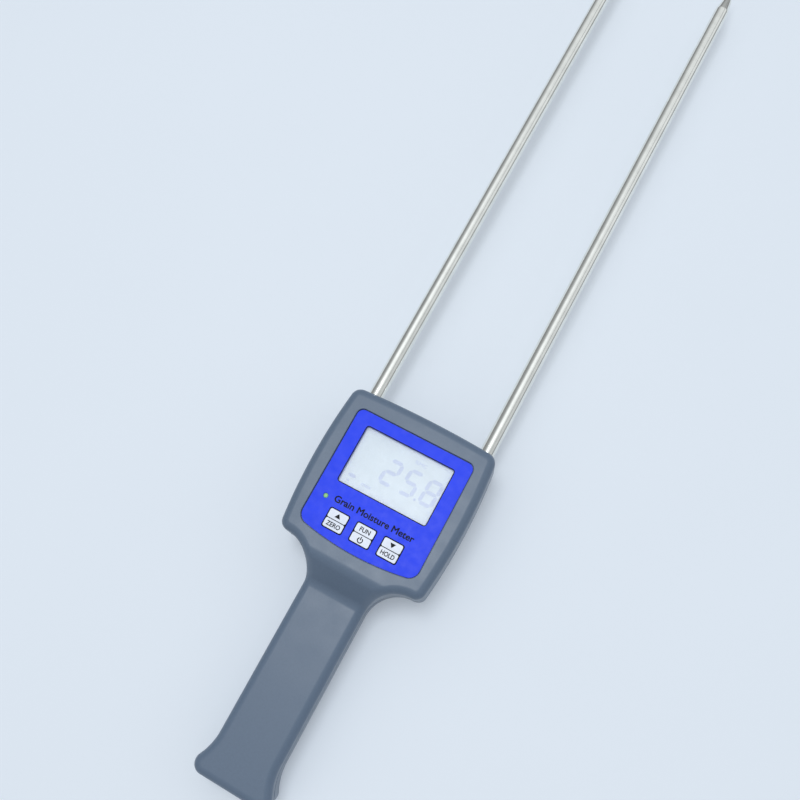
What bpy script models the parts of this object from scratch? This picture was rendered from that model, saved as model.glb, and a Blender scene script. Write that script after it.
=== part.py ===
"""A hand-held grain moisture meter: a grip with a flared end, a wider head with a membrane face, a display
and three keys, and two long pointed probes.

Every design size is in millimetres. x runs across the meter from its centre line, d along it from the end
of the grip towards the probe tips, and z up from its flat back. at() turns such a point into metres about
the middle of the back, which is the model's origin.
"""

import math

import bmesh
import bpy
from mathutils import Matrix, Vector

MM = 0.001

# Overall
LENGTH = 460.0
THICKNESS = 35.0
GAP = 0.3
PARTING = 17.15
WALL = 1.8

# Casing outline, as seen from the front
HEAD_HALF = 37.5
HEAD_SIDE_RADIUS = 265.0
HEAD_MIDDLE = 143.0
HEAD_TOP = 176.9
HEAD_TOP_RADIUS = 500.0
HEAD_TOP_CORNER = 5.0
SHOULDER = 104.7
SHOULDER_CORNER = 4.6
NECK_RADIUS = 16.0
GRIP_HALF = 14.9
FLARE_HALF = 18.4
FLARE_CORNER = 4.8
FLARE_RADIUS = 25.0

# Casing section, as seen from the side
GRIP_FACE = 25.0
FRONT_EDGE = 3.8
REAR_EDGE = 3.0
REAR_DRAFT = math.radians(3.5)
RAMP_FOOT = 88.3
RAMP_ANGLE = math.radians(45)
RAMP_RADIUS = 7.0
FOOT_RADIUS = 6.5

# Membrane face
FACE_HALF = 28.7
FACE_TOP = 167.4
FACE_BOTTOM = 108.8
FACE_BOTTOM_RADIUS = 130.0
FACE_TOP_CORNER = 3.0
FACE_BOTTOM_CORNER = 5.0
FACE_SURFACE = 34.25
FACE_THICKNESS = 0.5

# Display
WINDOW = (21.65, 13.65)
WINDOW_MIDDLE = 147.8
WINDOW_CORNER = 1.0
PANE = (26.0, 17.5)
PANE_THICKNESS = 0.6
GLASS = (24.3, 16.3)
GLASS_THICKNESS = 2.6
FRAME_WALL = 1.4
STRIP_LENGTH = 44.0
STRIP_WIDTH = 2.0
STRIP_OFFSET = 14.5

# Keys, from left to right
KEYS = {"zero": -13.4, "power": 0.0, "hold": 13.4}
KEY_ROW = 118.0
KEY = (4.9, 4.6)
KEY_CORNER = 0.9
KEY_PROUD = 0.2
KEY_FLANGE = 0.9
KEY_TRAVEL = 0.5
SWITCH_HALF = 3.1
SWITCH_TOP = 29.2
PLUNGER_RADIUS = 1.7
PLUNGER_BURIED = 1.0
LAMP = (-22.8, 125.7)

# Circuit board
BOARD_HALF = 33.0
BOARD_ENDS = (113.5, 167.0)
BOARD_UNDERSIDE = 24.0
BOARD_THICKNESS = 1.6
BOARD_SCREWS = [(x, d) for x in (-30.2, 30.2) for d in (118.5, 160.0)]
BOARD_POST_RADIUS = 2.5

# Case screws, driven in from the back
CASE_SCREWS = [(-19.0, 171.0), (19.0, 171.0), (-29.5, 111.5), (29.5, 111.5), (0.0, 80.0)]
FRONT_BOSS_RADIUS = 3.0
REAR_BOSS_RADIUS = 3.7
COUNTERBORE_RADIUS = 2.95
COUNTERBORE_DEPTH = 6.0

# Probes
PROBE_X = 29.1
PROBE_RADIUS = 3.5
PROBE_BORE = 2.6
PROBE_START = 131.5
PROBE_TAPER = 17.0
PROBE_POINT = 0.35
PROBE_CLEAR = PROBE_RADIUS + GAP
HOLDER = (34.3, 141.0, 151.0, 11.9, 22.4)
HOLDER_SCREW_X = 14.0
HOLDER_SEAT = 19.4
NUT_RADIUS = 5.77
NUT_THICKNESS = 4.0
LUG_RADIUS = 5.8
LUG_THICKNESS = 1.0
LUG_TAIL = 11.5
BUSH_RADIUS = 4.9
BUSH_ENDS = (168.0, 173.9)
RIB_ENDS = (170.2, 172.2)

# Battery and its door
BATTERY = (12.7, 9.5, 55.5, 3.4, 20.0)
TERMINAL_X = 6.35
TERMINAL_HEIGHT = 2.5
DOOR_LENGTH = 61.0
DOOR_HALF = 11.5
TONGUE_HALF = 12.4
TONGUE_LEVELS = (2.1, 3.1)
DOOR_RIDGES = 5

LABEL = (22.0, 125.0, 155.0)


def at(x, d, z):
    """The place of a design point, in metres from the middle of the back."""
    return Vector((x * MM, (d - LENGTH / 2) * MM, z * MM))


# Scene and materials


def clear_scene():
    for old in list(bpy.data.objects):
        bpy.data.objects.remove(old)


def new_collection(name):
    made = bpy.data.collections.new(name)
    bpy.context.scene.collection.children.link(made)
    return made


def linear(channel):
    channel /= 255
    return channel / 12.92 if channel <= 0.04045 else ((channel + 0.055) / 1.055) ** 2.4


def finish(name, color, roughness, metallic=0.0, alpha=1.0):
    material = bpy.data.materials.new(name)
    material.use_nodes = True
    shader = material.node_tree.nodes["Principled BSDF"]
    shader.inputs["Base Color"].default_value = (*map(linear, color), 1)
    shader.inputs["Roughness"].default_value = roughness
    shader.inputs["Metallic"].default_value = metallic
    shader.inputs["Alpha"].default_value = alpha
    material.diffuse_color = (*map(linear, color), alpha)
    return material


clear_scene()
METER = new_collection("grain_moisture_meter")
CUTTERS = new_collection("cutters")

CASING = finish("casing_plastic", (112, 127, 144), 0.5)
FACE_BLUE = finish("face_blue", (48, 76, 240), 0.35)
KEY_WHITE = finish("key_white", (226, 231, 245), 0.4)
CLEAR = finish("clear_plastic", (240, 246, 250), 0.05, alpha=0.3)
DISPLAY = finish("display_glass", (214, 228, 238), 0.15)
BLACK_PLASTIC = finish("black_plastic", (28, 28, 30), 0.5)
WHITE_PLASTIC = finish("white_plastic", (225, 225, 220), 0.5)
ELASTOMER = finish("elastomer", (70, 66, 72), 0.8)
BOARD_GREEN = finish("board_green", (28, 92, 58), 0.4)
LAMP_GREEN = finish("lamp_green", (140, 205, 130), 0.25)
STEEL = finish("probe_steel", (205, 205, 202), 0.2, metallic=1.0)
PLATED = finish("plated_steel", (190, 190, 188), 0.35, metallic=1.0)
BRASS = finish("tinned_brass", (200, 178, 120), 0.35, metallic=1.0)
RED_LEAD = finish("red_lead", (190, 30, 30), 0.5)
BLACK_LEAD = finish("black_lead", (22, 22, 24), 0.5)
JACKET = finish("battery_jacket", (70, 78, 92), 0.35, metallic=0.6)
FOAM = finish("foam", (60, 60, 62), 0.95)
LABEL_SILVER = finish("label_silver", (200, 202, 205), 0.4, metallic=0.3)


# Shapes


def add_mesh(name, mesh, material=None):
    """Puts a mesh in the meter or, with no material, among the cutters."""
    made = bpy.data.objects.new(name, mesh)
    if material:
        METER.objects.link(made)
        if not mesh.materials:
            mesh.materials.append(material)
    else:
        CUTTERS.objects.link(made)
        made.hide_render = True
        made.display_type = "WIRE"
    return made


def box(name, low, high, material=None, bevel=0.0, segments=1):
    """A box between two design corners, with its origin at its middle."""
    low, high = at(*low), at(*high)
    shape = bmesh.new()
    bmesh.ops.create_cube(shape, size=1, matrix=Matrix.Diagonal((*(high - low), 1)))
    if bevel:
        bmesh.ops.bevel(
            shape,
            geom=shape.edges[:],
            offset=bevel * MM,
            segments=segments,
            profile=0.5,
            affect="EDGES",
        )
    mesh = bpy.data.meshes.new(name)
    shape.to_mesh(mesh)
    shape.free()
    made = add_mesh(name, mesh, material)
    made.location = (low + high) / 2
    return made


def rod(name, start, end, radius, material=None, sides=16):
    """A cylinder, or with few sides a prism, between two design points."""
    start, end = at(*start), at(*end)
    shape = bmesh.new()
    bmesh.ops.create_cone(
        shape,
        cap_ends=True,
        segments=sides,
        radius1=radius * MM,
        radius2=radius * MM,
        depth=(end - start).length,
    )
    mesh = bpy.data.meshes.new(name)
    shape.to_mesh(mesh)
    shape.free()
    smooth(mesh)
    made = add_mesh(name, mesh, material)
    made.location = (start + end) / 2
    made.rotation_euler = (end - start).to_track_quat("Z", "Y").to_euler()
    return made


def smooth(mesh, angle=35):
    mesh.shade_smooth()
    mesh.set_sharp_from_angle(angle=math.radians(angle))


def turned(name, profile, place, material, sides=16, along_d=False):
    """A turned piece. Its profile is (radius, height) from the top of its axis down its outer side."""
    mesh = bpy.data.meshes.new(name)
    points = [(radius * MM, 0, height * MM) for radius, height in profile]
    mesh.from_pydata(points, [(i, i + 1) for i in range(len(points) - 1)], [])
    made = add_mesh(name, mesh, material)
    spin = made.modifiers.new("turn", "SCREW")
    spin.steps = spin.render_steps = sides
    spin.use_merge_vertices = True
    spin.merge_threshold = 0.00001
    spin.use_smooth_shade = False
    made.location = at(*place)
    if along_d:
        made.rotation_euler = (-math.pi / 2, 0, 0)
    return made


def ring(name, inner, outer, ends, x, z, material):
    """A plain ring about an axis that runs along the meter."""
    made = rod(name, (x, ends[0], z), (x, ends[1], z), outer, material)
    cut(made, rod(name + "_hole", (x, ends[0] - 1, z), (x, ends[1] + 1, z), inner))
    return made


def lofted(name, loops, material):
    """A closed solid through loops of (outline, height), each with as many points, with flat ends."""
    shape = bmesh.new()
    rings = [[shape.verts.new(at(x, d, z)) for x, d in outline] for outline, z in loops]
    for near, far in zip(rings, rings[1:]):
        for i, vertex in enumerate(near):
            j = (i + 1) % len(near)
            shape.faces.new((vertex, near[j], far[j], far[i]))
    shape.faces.new(reversed(rings[0]))
    shape.faces.new(rings[-1])
    bmesh.ops.recalc_face_normals(shape, faces=shape.faces)
    mesh = bpy.data.meshes.new(name)
    shape.to_mesh(mesh)
    shape.free()
    return add_mesh(name, mesh, material)


def flat_solid(name, outline, low, high, material=None):
    """A flat outline of (x, d) points as a solid between two heights, with each flat side one face."""
    curve = bpy.data.curves.new(name, "CURVE")
    curve.dimensions = "2D"
    curve.fill_mode = "BOTH"
    curve.extrude = (high - low) / 2 * MM
    spline = curve.splines.new("POLY")
    spline.points.add(len(outline) - 1)
    spline.use_cyclic_u = True
    for point, (x, d) in zip(spline.points, outline):
        point.co = (*at(x, d, 0).xy, 0, 1)
    made = add_mesh(name, as_mesh(curve), material)
    made.location.z = (low + high) / 2 * MM
    return made


def as_mesh(curve):
    """A curve's shape as a mesh, with its caps welded on and their triangles joined into flat faces."""
    guide = bpy.data.objects.new(curve.name, curve)
    bpy.context.scene.collection.objects.link(guide)
    graph = bpy.context.evaluated_depsgraph_get()
    mesh = bpy.data.meshes.new_from_object(guide.evaluated_get(graph))
    bpy.data.objects.remove(guide)
    shape = bmesh.new()
    shape.from_mesh(mesh)
    bmesh.ops.remove_doubles(shape, verts=shape.verts, dist=0.000001)
    for side in (-1, 1):
        cap = [f for f in shape.faces if all(v.co.z * side > 0 for v in f.verts)]
        bmesh.ops.dissolve_faces(shape, faces=cap)
    bmesh.ops.recalc_face_normals(shape, faces=shape.faces)
    shape.to_mesh(mesh)
    shape.free()
    return mesh


def wire(name, points, radius, material):
    """A lead along a smooth curve through its design points."""
    curve = bpy.data.curves.new(name, "CURVE")
    curve.dimensions = "3D"
    curve.bevel_depth = radius * MM
    curve.bevel_resolution = 1
    curve.use_fill_caps = True
    route = smooth_route([at(*point) for point in points], 2)
    spline = curve.splines.new("POLY")
    spline.points.add(len(route) - 1)
    for point, place in zip(spline.points, route):
        point.co = (*place, 1)
    made = bpy.data.objects.new(name, curve)
    curve.materials.append(material)
    METER.objects.link(made)
    return made


def smooth_route(points, steps):
    """The points, with steps to each stretch between them, on a Catmull-Rom curve."""
    ends = [2 * points[0] - points[1], *points, 2 * points[-1] - points[-2]]
    route = []
    for a, b, c, d in zip(ends, ends[1:], ends[2:], ends[3:]):
        for step in range(steps):
            t = step / steps
            route.append(
                b
                + (c - a) * t / 2
                + (2 * a - 5 * b + 4 * c - d) * t**2 / 2
                + (3 * b - a - 3 * c + d) * t**3 / 2
            )
    return [*route, points[-1]]


def combine(target, tool, operation):
    step = target.modifiers.new(tool.name, "BOOLEAN")
    step.operation = operation
    step.object = tool


def cut(target, *tools):
    for tool in tools:
        combine(target, tool, "DIFFERENCE")


def join(target, *tools):
    for tool in tools:
        combine(target, tool, "UNION")


# Outlines


def arc(middle, radius, start, end, steps):
    """Points on a circle, between two angles in degrees."""
    for step in range(steps + 1):
        angle = math.radians(start + (end - start) * step / steps)
        yield middle[0] + radius * math.cos(angle), middle[1] + radius * math.sin(angle)


def heading(start, end):
    return math.degrees(math.atan2(end[1] - start[1], end[0] - start[0]))


def mirrored(half):
    """A closed outline from its right half, which starts and ends on the centre line."""
    return half + [(-x, d) for x, d in reversed(half[1:-1])]


def rounded_rectangle(middle, half_width, half_height, corner, steps=3):
    x, d = half_width - corner, half_height - corner
    points = []
    for turn, (sx, sd) in enumerate(((1, 1), (-1, 1), (-1, -1), (1, -1))):
        centre = (middle[0] + sx * x, middle[1] + sd * d)
        points += arc(centre, corner, 90 * turn, 90 * turn + 90, steps)
    return points


def casing_outline(inset=0.0):
    """The casing's outline, drawn in evenly: flared grip end, grip, neck fillets, a head with bowed sides."""
    flare = (FLARE_HALF - FLARE_CORNER, FLARE_CORNER)
    hollow_x = GRIP_HALF + FLARE_RADIUS
    reach = FLARE_RADIUS + FLARE_CORNER
    hollow = (hollow_x, flare[1] + math.sqrt(reach**2 - (hollow_x - flare[0]) ** 2))
    flare_turn = heading(flare, hollow)

    neck = (GRIP_HALF + NECK_RADIUS, SHOULDER - NECK_RADIUS)
    side = (HEAD_HALF - HEAD_SIDE_RADIUS, HEAD_MIDDLE)
    top = (0.0, HEAD_TOP - HEAD_TOP_RADIUS)

    low = SHOULDER + SHOULDER_CORNER
    reach = HEAD_SIDE_RADIUS - SHOULDER_CORNER
    shoulder = (side[0] + math.sqrt(reach**2 - (low - side[1]) ** 2), low)
    corner = head_corner(side, top)

    low_turn, high_turn = heading(side, shoulder), heading(side, corner)
    half = [(0.0, inset)]
    half += arc(flare, FLARE_CORNER - inset, -90, flare_turn, 7)
    half += list(arc(hollow, FLARE_RADIUS + inset, flare_turn + 180, 180, 4))[1:]
    half += arc(neck, NECK_RADIUS + inset, 180, 90, 8)
    half += list(arc(shoulder, SHOULDER_CORNER - inset, -90, low_turn, 4))[1:]
    half += list(arc(side, HEAD_SIDE_RADIUS - inset, low_turn, high_turn, 8))[1:-1]
    half += arc(corner, HEAD_TOP_CORNER - inset, high_turn, heading(top, corner), 5)
    half += list(arc(top, HEAD_TOP_RADIUS - inset, heading(top, corner), 90, 4))[1:]
    return mirrored(half)


def head_corner(side, top):
    """The middle of the corner that rounds the bowed side into the bowed top edge."""
    reach_side = HEAD_SIDE_RADIUS - HEAD_TOP_CORNER
    reach_top = HEAD_TOP_RADIUS - HEAD_TOP_CORNER
    x, d = HEAD_HALF, HEAD_TOP
    for _ in range(20):
        x = side[0] + math.sqrt(reach_side**2 - (d - side[1]) ** 2)
        d = top[1] + math.sqrt(reach_top**2 - x**2)
    return x, d


def face_outline(grow=0.0):
    """The membrane face: a rounded rectangle whose lower edge bows downwards."""
    half = FACE_HALF + grow
    bow = (0.0, FACE_BOTTOM - grow + FACE_BOTTOM_RADIUS)
    low_x = half - FACE_BOTTOM_CORNER
    reach = FACE_BOTTOM_RADIUS - FACE_BOTTOM_CORNER
    low = (low_x, bow[1] - math.sqrt(reach**2 - low_x**2))
    high = (half - FACE_TOP_CORNER, FACE_TOP + grow - FACE_TOP_CORNER)
    points = list(arc(bow, FACE_BOTTOM_RADIUS, -90, heading(bow, low), 5))
    points += list(arc(low, FACE_BOTTOM_CORNER, heading(bow, low), 0, 4))[1:]
    points += arc(high, FACE_TOP_CORNER, 0, 90, 3)
    return mirrored([*points, (0.0, FACE_TOP + grow)])


def ramp_marks():
    """Where the fillet at the ramp's foot ends, and where the bend at its top starts and ends."""
    foot_end = RAMP_FOOT + FOOT_RADIUS * math.sin(RAMP_ANGLE)
    rounded_drop = (FOOT_RADIUS + RAMP_RADIUS) * (1 - math.cos(RAMP_ANGLE))
    bend_start = foot_end + (THICKNESS - GRIP_FACE - rounded_drop) / math.tan(RAMP_ANGLE)
    return foot_end, bend_start, bend_start + RAMP_RADIUS * math.sin(RAMP_ANGLE)


def ramp_drop(d):
    """How far the front surface lies below the head's face: nothing on the head, all of it on the grip."""
    full = THICKNESS - GRIP_FACE
    foot_end, bend_start, crest = ramp_marks()
    if d <= RAMP_FOOT:
        return full
    if d < foot_end:
        return full - FOOT_RADIUS + math.sqrt(FOOT_RADIUS**2 - (d - RAMP_FOOT) ** 2)
    if d <= bend_start:
        foot_rise = FOOT_RADIUS * (1 - math.cos(RAMP_ANGLE))
        return full - foot_rise - (d - foot_end) * math.tan(RAMP_ANGLE)
    if d < crest:
        return RAMP_RADIUS - math.sqrt(RAMP_RADIUS**2 - (crest - d) ** 2)
    return 0.0


def ramp_stations():
    """Where the front surface is cut across so that it can follow the ramp."""
    crest = ramp_marks()[-1]
    foot = [RAMP_FOOT + FOOT_RADIUS * math.sin(RAMP_ANGLE * step / 4) for step in range(5)]
    bend = [crest - RAMP_RADIUS * math.sin(RAMP_ANGLE * step / 5) for step in range(5, -1, -1)]
    return foot + bend


# Casing


def casing_half(name, parting, outer, edge, draft=0.0):
    """A hollow half of the casing: inner skin, parting face, and outer skin with draft and a rounded rim."""
    side = 1 if outer > parting else -1
    drawn_in = math.tan(draft) * (abs(outer - parting) - edge)

    def rim(radius):
        turns = [math.radians(30 * step) for step in range(4)]
        return [
            (drawn_in + edge - radius * math.cos(turn), outer - side * (edge - radius * math.sin(turn)))
            for turn in turns
        ]

    inner = [(WALL, parting), *rim(edge - WALL)]
    skins = [*reversed(inner), (0.0, parting), *rim(edge)]
    return lofted(name, [(casing_outline(inset), z) for inset, z in skins], CASING)


def follow_ramp(half, parting):
    """Lowers all but the parting face of the front half, so that it runs down the ramp to the grip."""
    shape = bmesh.new()
    shape.from_mesh(half.data)
    for station in ramp_stations():
        bmesh.ops.bisect_plane(
            shape,
            geom=shape.verts[:] + shape.edges[:] + shape.faces[:],
            plane_co=at(0, station, 0),
            plane_no=(0, 1, 0),
        )
    for vertex in shape.verts:
        if vertex.co.z > (parting + GAP) * MM:
            vertex.co.z -= ramp_drop(vertex.co.y / MM + LENGTH / 2) * MM
    shape.to_mesh(half.data)
    shape.free()


def probe_channels(shell):
    """The round notches that the two probes lie in where they leave the head."""
    for x in (-PROBE_X, PROBE_X):
        channel = rod("probe_channel", (x, 173, PARTING), (x, 179, PARTING), PROBE_CLEAR)
        saddle = rod("bush_saddle", (x, 167, PARTING), (x, 174.2, PARTING), BUSH_RADIUS + GAP)
        cut(shell, channel, saddle)


def bush_ribs(shell, low, high):
    """The ribs that the entry bushes sit in."""
    for side in (-1, 1):
        inner, outer = sorted((side * 22.3, side * 34.6))
        join(shell, box("bush_rib", (inner, RIB_ENDS[0], low), (outer, RIB_ENDS[1], high)))


def front_shell():
    parting = PARTING + GAP / 2
    shell = casing_half("front_shell", parting, THICKNESS, FRONT_EDGE)
    follow_ramp(shell, parting)
    smooth(shell.data)
    floor = FACE_SURFACE - FACE_THICKNESS - GAP
    pane_floor = floor - PANE_THICKNESS - GAP
    underside = floor - WALL

    join(shell, box("face_pad", (-33.4, 109, underside), (33.4, 169.5, 33.6)))
    for x, d in CASE_SCREWS:
        top = THICKNESS - ramp_drop(d) - WALL / 2
        join(shell, rod("front_boss", (x, d, PARTING + GAP), (x, d, top), FRONT_BOSS_RADIUS))
    for x, d in BOARD_SCREWS:
        foot = BOARD_UNDERSIDE + BOARD_THICKNESS + GAP
        join(shell, rod("board_post", (x, d, foot), (x, d, 32.6), BOARD_POST_RADIUS, sides=12))
    bush_ribs(shell, PARTING + GAP, 33.8)

    cut(shell, flat_solid("face_recess", face_outline(GAP), floor, THICKNESS + 1))
    window = rounded_rectangle((0, WINDOW_MIDDLE), PANE[0] + GAP, PANE[1] + GAP, WINDOW_CORNER)
    cut(shell, flat_solid("pane_pocket", window, pane_floor, floor + 1))
    glass = rounded_rectangle((0, WINDOW_MIDDLE), GLASS[0] + GAP, GLASS[1] + GAP, WINDOW_CORNER)
    cut(shell, flat_solid("glass_opening", glass, underside - 1, floor))
    for x in KEYS.values():
        cut(shell, flat_solid("key_opening", key_outline(x, GAP), underside - 1, floor + 1))
    cut(shell, rod("lamp_hole", (*LAMP, underside - 1), (*LAMP, floor + 1), 1.8, sides=12))
    for x, d in CASE_SCREWS:
        cut(shell, rod("case_pilot", (x, d, PARTING - 1), (x, d, 22), 1.75, sides=12))
    for x, d in BOARD_SCREWS:
        cut(shell, rod("board_pilot", (x, d, BOARD_UNDERSIDE), (x, d, 30.5), 1.2, sides=8))
    probe_channels(shell)


def rear_shell():
    shell = casing_half("rear_shell", PARTING - GAP / 2, 0.0, REAR_EDGE, REAR_DRAFT)
    smooth(shell.data)
    inside = WALL - 0.6
    for x, d in CASE_SCREWS:
        join(shell, rod("rear_boss", (x, d, inside), (x, d, PARTING - GAP), REAR_BOSS_RADIUS))
    for x in (-HOLDER_SCREW_X, HOLDER_SCREW_X):
        join(shell, rod("holder_post", (x, 146, inside), (x, 146, HOLDER[3] - GAP), 3.2))
    for inner, outer in ((-13.7, -6.5), (6.5, 13.7)):
        join(shell, box("battery_stop", (inner, 66.5, inside), (outer, 68, 16.5)))
    bush_ribs(shell, inside, PARTING - GAP)

    for x, d in CASE_SCREWS:
        cut(shell, rod("screw_way", (x, d, 2), (x, d, PARTING + 1), 1.75, sides=12))
        cut(shell, rod("counterbore", (x, d, -1), (x, d, COUNTERBORE_DEPTH), COUNTERBORE_RADIUS))
    for x in (-HOLDER_SCREW_X, HOLDER_SCREW_X):
        cut(shell, rod("holder_pilot", (x, 146, 6.5), (x, 146, HOLDER[3] + 1), 1.7, sides=12))
    half, start, end, low, high = BATTERY
    relief = (-half - GAP, start - GAP, low - GAP), (half + GAP, end + GAP, PARTING)
    cut(shell, box("battery_relief", *relief))
    half, start, end = LABEL
    cut(shell, box("label_pocket", (-half - GAP, start - GAP, -1), (half + GAP, end + GAP, 0.6)))
    doorway = DOOR_HALF + GAP
    cut(shell, box("doorway", (-doorway, -1, -1), (doorway, DOOR_LENGTH + GAP, TONGUE_LEVELS[1] + GAP)))
    slot = TONGUE_HALF + GAP
    way = (-slot, -1, TONGUE_LEVELS[0] - GAP), (slot, DOOR_LENGTH + 0.1, TONGUE_LEVELS[1] + GAP)
    cut(shell, box("door_slot", *way))
    probe_channels(shell)


def case_screws():
    """Self-tapping pan-head screws, head down in the counterbores of the back."""
    head_top = COUNTERBORE_DEPTH - GAP
    profile = [(0, 15.3), (0.6, 15.3), (1.45, 14.0), (1.45, 0), (2.6, 0), (2.6, -1.1), (1.9, -1.8), (0, -1.8)]
    names = ("head_left", "head_right", "shoulder_left", "shoulder_right", "grip")
    for name, (x, d) in zip(names, CASE_SCREWS):
        turned(f"case_screw_{name}", profile, (x, d, head_top), PLATED, sides=12)


def rear_label():
    half, start, end = LABEL
    box("rear_label", (-half, start, 0.05), (half, end, 0.3), LABEL_SILVER)


# Face, display and keys


def key_outline(x, grow=0.0):
    return rounded_rectangle((x, KEY_ROW), KEY[0] + grow, KEY[1] + grow, KEY_CORNER, steps=2)


def face_overlay():
    underside = FACE_SURFACE - FACE_THICKNESS
    face = flat_solid("face_overlay", face_outline(), underside, FACE_SURFACE, FACE_BLUE)
    window = rounded_rectangle((0, WINDOW_MIDDLE), *WINDOW, WINDOW_CORNER)
    cut(face, flat_solid("window_opening", window, underside - 1, THICKNESS))
    for x in KEYS.values():
        cut(face, flat_solid("key_window", key_outline(x, GAP), underside - 1, THICKNESS))
    cut(face, rod("lamp_window", (*LAMP, underside - 1), (*LAMP, THICKNESS), 1.15, sides=12))


def window_pane():
    top = FACE_SURFACE - FACE_THICKNESS - GAP
    outline = rounded_rectangle((0, WINDOW_MIDDLE), *PANE, WINDOW_CORNER)
    flat_solid("window_pane", outline, top - PANE_THICKNESS, top, CLEAR)
    return top - PANE_THICKNESS


def display(pane_underside):
    """The display glass in its frame, and the two elastomer strips that join it to the board."""
    board_top = BOARD_UNDERSIDE + BOARD_THICKNESS
    glass_top = pane_underside - GAP
    glass_foot = glass_top - GLASS_THICKNESS
    half, tall = GLASS
    middle = WINDOW_MIDDLE
    box("display_glass", (-half, middle - tall, glass_foot), (half, middle + tall, glass_top), DISPLAY)

    inner, inner_tall = half + GAP, tall + GAP
    outer, outer_tall = inner + FRAME_WALL, inner_tall + FRAME_WALL
    low, high = board_top + GAP, glass_foot + FRAME_WALL
    frame = box(
        "display_frame",
        (-outer, middle - outer_tall, low),
        (outer, middle + outer_tall, high),
        WHITE_PLASTIC,
    )
    cut(
        frame,
        box("frame_opening", (-inner, middle - inner_tall, low - 1), (inner, middle + inner_tall, high + 1)),
    )
    for name, side in (("lower", -1), ("upper", 1)):
        strip = middle + side * STRIP_OFFSET
        box(
            f"contact_strip_{name}",
            (-STRIP_LENGTH / 2, strip - STRIP_WIDTH / 2, board_top + GAP),
            (STRIP_LENGTH / 2, strip + STRIP_WIDTH / 2, glass_foot - GAP),
            ELASTOMER,
        )


def keys():
    """Three keys, each a pad with a flange behind the face, on a tact switch with its plunger."""
    shell_underside = FACE_SURFACE - FACE_THICKNESS - GAP - WALL
    flange_top = shell_underside - GAP
    flange_foot = flange_top - KEY_FLANGE
    board_top = BOARD_UNDERSIDE + BOARD_THICKNESS
    plunger_foot = SWITCH_TOP - PLUNGER_BURIED
    for name, x in KEYS.items():
        pad_foot = flange_foot + 0.2
        pad = flat_solid(f"key_{name}", key_outline(x), pad_foot, FACE_SURFACE + KEY_PROUD, KEY_WHITE)
        flange = rounded_rectangle((x, KEY_ROW), KEY[0] + 0.9, KEY[1] + 0.9, KEY_CORNER, steps=2)
        join(pad, flat_solid("key_flange", flange, flange_foot, flange_top))

        body = box(
            f"switch_body_{name}",
            (x - SWITCH_HALF, KEY_ROW - SWITCH_HALF, board_top + GAP),
            (x + SWITCH_HALF, KEY_ROW + SWITCH_HALF, SWITCH_TOP),
            BLACK_PLASTIC,
        )
        well_foot = plunger_foot - KEY_TRAVEL - GAP
        well = (x, KEY_ROW, well_foot), (x, KEY_ROW, SWITCH_TOP + 1)
        cut(body, rod("switch_well", *well, PLUNGER_RADIUS + GAP, sides=12))
        ends = (x, KEY_ROW, plunger_foot), (x, KEY_ROW, flange_foot - GAP)
        rod(f"switch_plunger_{name}", *ends, PLUNGER_RADIUS, WHITE_PLASTIC, sides=12)


def indicator_lamp():
    foot = BOARD_UNDERSIDE + BOARD_THICKNESS + GAP
    tip = FACE_SURFACE - foot
    profile = [(0, tip - 0.1), (0.6, tip - 0.2), (0.85, tip - 0.45), (0.85, tip - 0.95), (1.5, tip - 1.35)]
    profile += [(1.5, 1.0), (1.9, 1.0), (1.9, 0), (0, 0)]
    turned("indicator_lamp", profile, (*LAMP, foot), LAMP_GREEN, sides=12)


# Circuit board


def main_board():
    """The board, with bites at its lower corners for the case bosses."""
    top = BOARD_UNDERSIDE + BOARD_THICKNESS
    start, end = BOARD_ENDS
    board = box("main_board", (-BOARD_HALF, start, BOARD_UNDERSIDE), (BOARD_HALF, end, top), BOARD_GREEN)
    for x, d in CASE_SCREWS[2:4]:
        bite = (x, d, BOARD_UNDERSIDE - 1), (x, d, top + 1)
        cut(board, rod("boss_bite", *bite, FRONT_BOSS_RADIUS + 0.6))
    for x, d in BOARD_SCREWS:
        hole = (x, d, BOARD_UNDERSIDE - 1), (x, d, top + 1)
        cut(board, rod("board_hole", *hole, 1.2, sides=8))


def board_screws():
    """Small screws that hold the board up to the front shell's posts."""
    profile = [(0, 6.1), (0.3, 6.1), (0.9, 5.2), (0.9, 0), (2.0, 0), (2.0, -1.0), (1.4, -1.6), (0, -1.6)]
    for number, (x, d) in enumerate(BOARD_SCREWS, 1):
        turned(f"board_screw_{number}", profile, (x, d, BOARD_UNDERSIDE - GAP), PLATED, sides=10)


def board_components():
    top = BOARD_UNDERSIDE + BOARD_THICKNESS + GAP
    under = BOARD_UNDERSIDE - GAP
    box("controller_chip", (-6, 142, top), (6, 154, top + 1.5), BLACK_PLASTIC, bevel=0.2)
    box("amplifier_chip", (-16, 145, top), (-11, 151, top + 1.5), BLACK_PLASTIC, bevel=0.2)
    box("crystal_can", (5, 126, under - 3.5), (16, 130.5, under), PLATED, bevel=0.8, segments=2)
    box("battery_plug", (-4.5, 113.8, under - 5), (4.5, 119.2, under), WHITE_PLASTIC, bevel=0.3)
    rim = [(0, 8), (2.6, 8), (3.15, 7.5), (3.15, 1.6), (2.9, 1.3), (3.15, 1.0), (3.15, 0), (0, 0)]
    turned("filter_capacitor", rim, (-12, 127, under - 8), BLACK_PLASTIC)


# Probes


def probe(name, x):
    """A thin-walled rod, open at its rear end, with a long solid point."""
    length = LENGTH - PROBE_START
    shoulder = length - PROBE_TAPER
    profile = [(0, length), (PROBE_POINT, length - 0.3), (PROBE_RADIUS, shoulder), (PROBE_RADIUS, 0)]
    profile += [(PROBE_BORE, 0), (PROBE_BORE, shoulder - 4), (0, shoulder - 4)]
    turned(name, profile, (x, PROBE_START, PARTING), STEEL, sides=24, along_d=True)


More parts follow.
